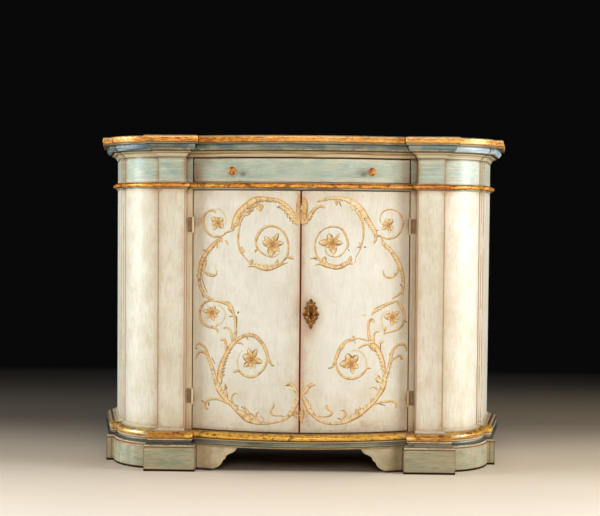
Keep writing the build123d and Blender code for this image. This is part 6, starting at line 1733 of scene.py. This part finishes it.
# -------------------------------------------------- finishes on the CAD pieces
FINISH = {
    "carcass_top": M_WOOD_X, "bottom_rail": M_WOOD_X, "mid_rail": M_WOOD_X, "top_rail": M_WOOD_X,
    "back_boards": M_BACK, "bottom_board": M_WOOD_X, "dust_board": M_WOOD_X, "shelf": M_WOOD_X,
    "shelf_supports": M_WOOD_X, "drawer_runners": M_WOOD_Y, "drawer_kickers": M_WOOD_Y,
    "base_frame": M_FILLET, "foot_blocks": M_FRAMEW, "front_post_left": M_POST,
    "front_post_right": M_POST, "hinge_frame_leaves": M_HINGE, "hinge_pins": M_PIN,
    "hinge_screws": M_HINGE, "left_hinge_leaves": M_HINGE, "right_hinge_leaves": M_HINGE,
    "lock_case": M_IRON, "lock_bolt": M_BRASS, "lock_keep": M_IRON, "bolt_staples": M_IRON,
    "left_door_bolt": M_IRON, "escutcheon": M_ESC, "escutcheon_pins": M_ESC,
    "drawer_side_left": M_WOOD_Y, "drawer_side_right": M_WOOD_Y, "drawer_back": M_WOOD_X,
    "drawer_bottom": M_WOOD_Y,
}
for nm, mt in FINISH.items():
    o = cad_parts[nm]
    if o.material_slots:
        for sl in o.material_slots:
            sl.material = mt.m
    else:
        o.data.materials.append(mt.m)

# ------------------------------------------------------------------ the studio
def area(name, loc, to, sx, sy, power, col=(1, 1, 1)):
    l = bpy.data.lights.new(name, "AREA")
    l.shape = "RECTANGLE"
    l.size, l.size_y = sx, sy
    l.energy = power
    l.color = col
    o = bpy.data.objects.new(name, l)
    COLL.objects.link(o)
    o.location = loc
    o.rotation_mode = "QUATERNION"
    o.rotation_quaternion = (Vector(to) - Vector(loc)).to_track_quat("-Z", "Y")
    return o


area("key_right", (3.1, -0.95, 1.25), (0.3, 0.0, 0.5), 1.5, 1.9, 102, (0.9, 0.96, 1.0))
area("key_left", (-3.1, -0.75, 1.25), (-0.3, 0.0, 0.5), 1.4, 1.9, 82, (0.86, 0.96, 1.0))
area("fill_front", (0.15, -4.5, 2.6), (0.0, 0.0, 0.5), 2.6, 1.6, 80, (1.0, 0.945, 0.885))
area("rear_fill", (0.0, 3.6, 2.6), (0.0, 0.3, 0.6), 2.2, 1.4, 9)

floor_me = bpy.data.meshes.new("studio_floor")
floor_me.from_pydata([(-14, -14, 0), (14, -14, 0), (14, 14, 0), (-14, 14, 0)], [], [(0, 1, 2, 3)])
floor = bpy.data.objects.new("studio_floor", floor_me)
COLL.objects.link(floor)
# Floor: pale in front and darker behind and to the left, fading to black at the back, with an emissive glow in front
# of the cabinet: painted light and painted glow.
fm = Mat("floor_pale", rough=0.6, spec=0.25)
floor_painted_light = fm.mix(fm.y.step(-500.0, 300.0), rgb(254, 234, 208), fm.mix(
    fm.x.step(-500.0, 500.0), rgb(197, 179, 160), rgb(222, 202, 176)))
floor_painted_light = fm.mix(fm.y.step(200.0, 1000.0), floor_painted_light, fm.mix(fm.x.step(-500.0, 500.0), rgb(110, 98, 86), rgb(138, 121, 101)))
floor_painted_light = fm.mix(fm.y.step(900.0, 2200.0), floor_painted_light, rgb(44, 37, 32))
dim = fm.y.step(2150.0, 2500.0)
floor_painted_light = fm.mix(dim, floor_painted_light, rgb(0, 0, 0))
# under: painted shadow beneath the cabinet; it also cuts the painted glow there.
under = fm.y.step(-24.0, 8.0) * fm.y.step(400.0, 380.0) * fm.ax.step(440.0, 420.0)
painted_glow = fm.y.step(150.0, -250.0) * (1.0 - under) * 30.0 + fm.y.step(-250.0, -800.0) * 60.0
fm.b.inputs["Emission Color"].default_value = (0.0027, 0.0027, 0.0029, 1.0)
fm.put(fm.b.inputs["Emission Strength"], dim + painted_glow)
fm.put(fm.b.inputs["Specular IOR Level"], 0.25 - dim * 0.25)
floor_painted_light = fm.mix(under * 0.6, floor_painted_light, rgb(60, 44, 32))
fm.colour(floor_painted_light)
floor_me.materials.append(fm.m)

world = bpy.data.worlds.new("studio")
bpy.context.scene.world = world
world.use_nodes = True
world.node_tree.nodes["Background"].inputs[0].default_value = (0.0027, 0.0027, 0.0029, 1.0)
world.node_tree.nodes["Background"].inputs[1].default_value = 1.0
bpy.context.scene.view_settings.view_transform = "Standard"
bpy.context.scene.view_settings.look = "None"

cam_data = bpy.data.cameras.new("camera")
cam_data.sensor_width = 36.0
cam_data.lens = 72.0
cam_data.shift_x = 0.00765
cam_data.shift_y = 0.0002
cam = bpy.data.objects.new("camera", cam_data)
COLL.objects.link(cam)
yaw, pitch, roll = math.radians(-1.2), math.radians(-2.109), math.radians(0.482)
fwd = Vector((math.sin(yaw) * math.cos(pitch), math.cos(yaw) * math.cos(pitch), math.sin(pitch)))
rgt = Vector((math.cos(yaw), -math.sin(yaw), 0.0))
upv = rgt.cross(fwd)
r2 = rgt * math.cos(roll) + upv * math.sin(roll)
u2 = -rgt * math.sin(roll) + upv * math.cos(roll)
cam.matrix_world = Matrix(((r2.x, u2.x, -fwd.x, 0.06144), (r2.y, u2.y, -fwd.y, -3.90552),
                           (r2.z, u2.z, -fwd.z, 0.8045), (0, 0, 0, 1)))
cam_data.clip_start, cam_data.clip_end = 0.05, 60.0
bpy.context.scene.camera = cam
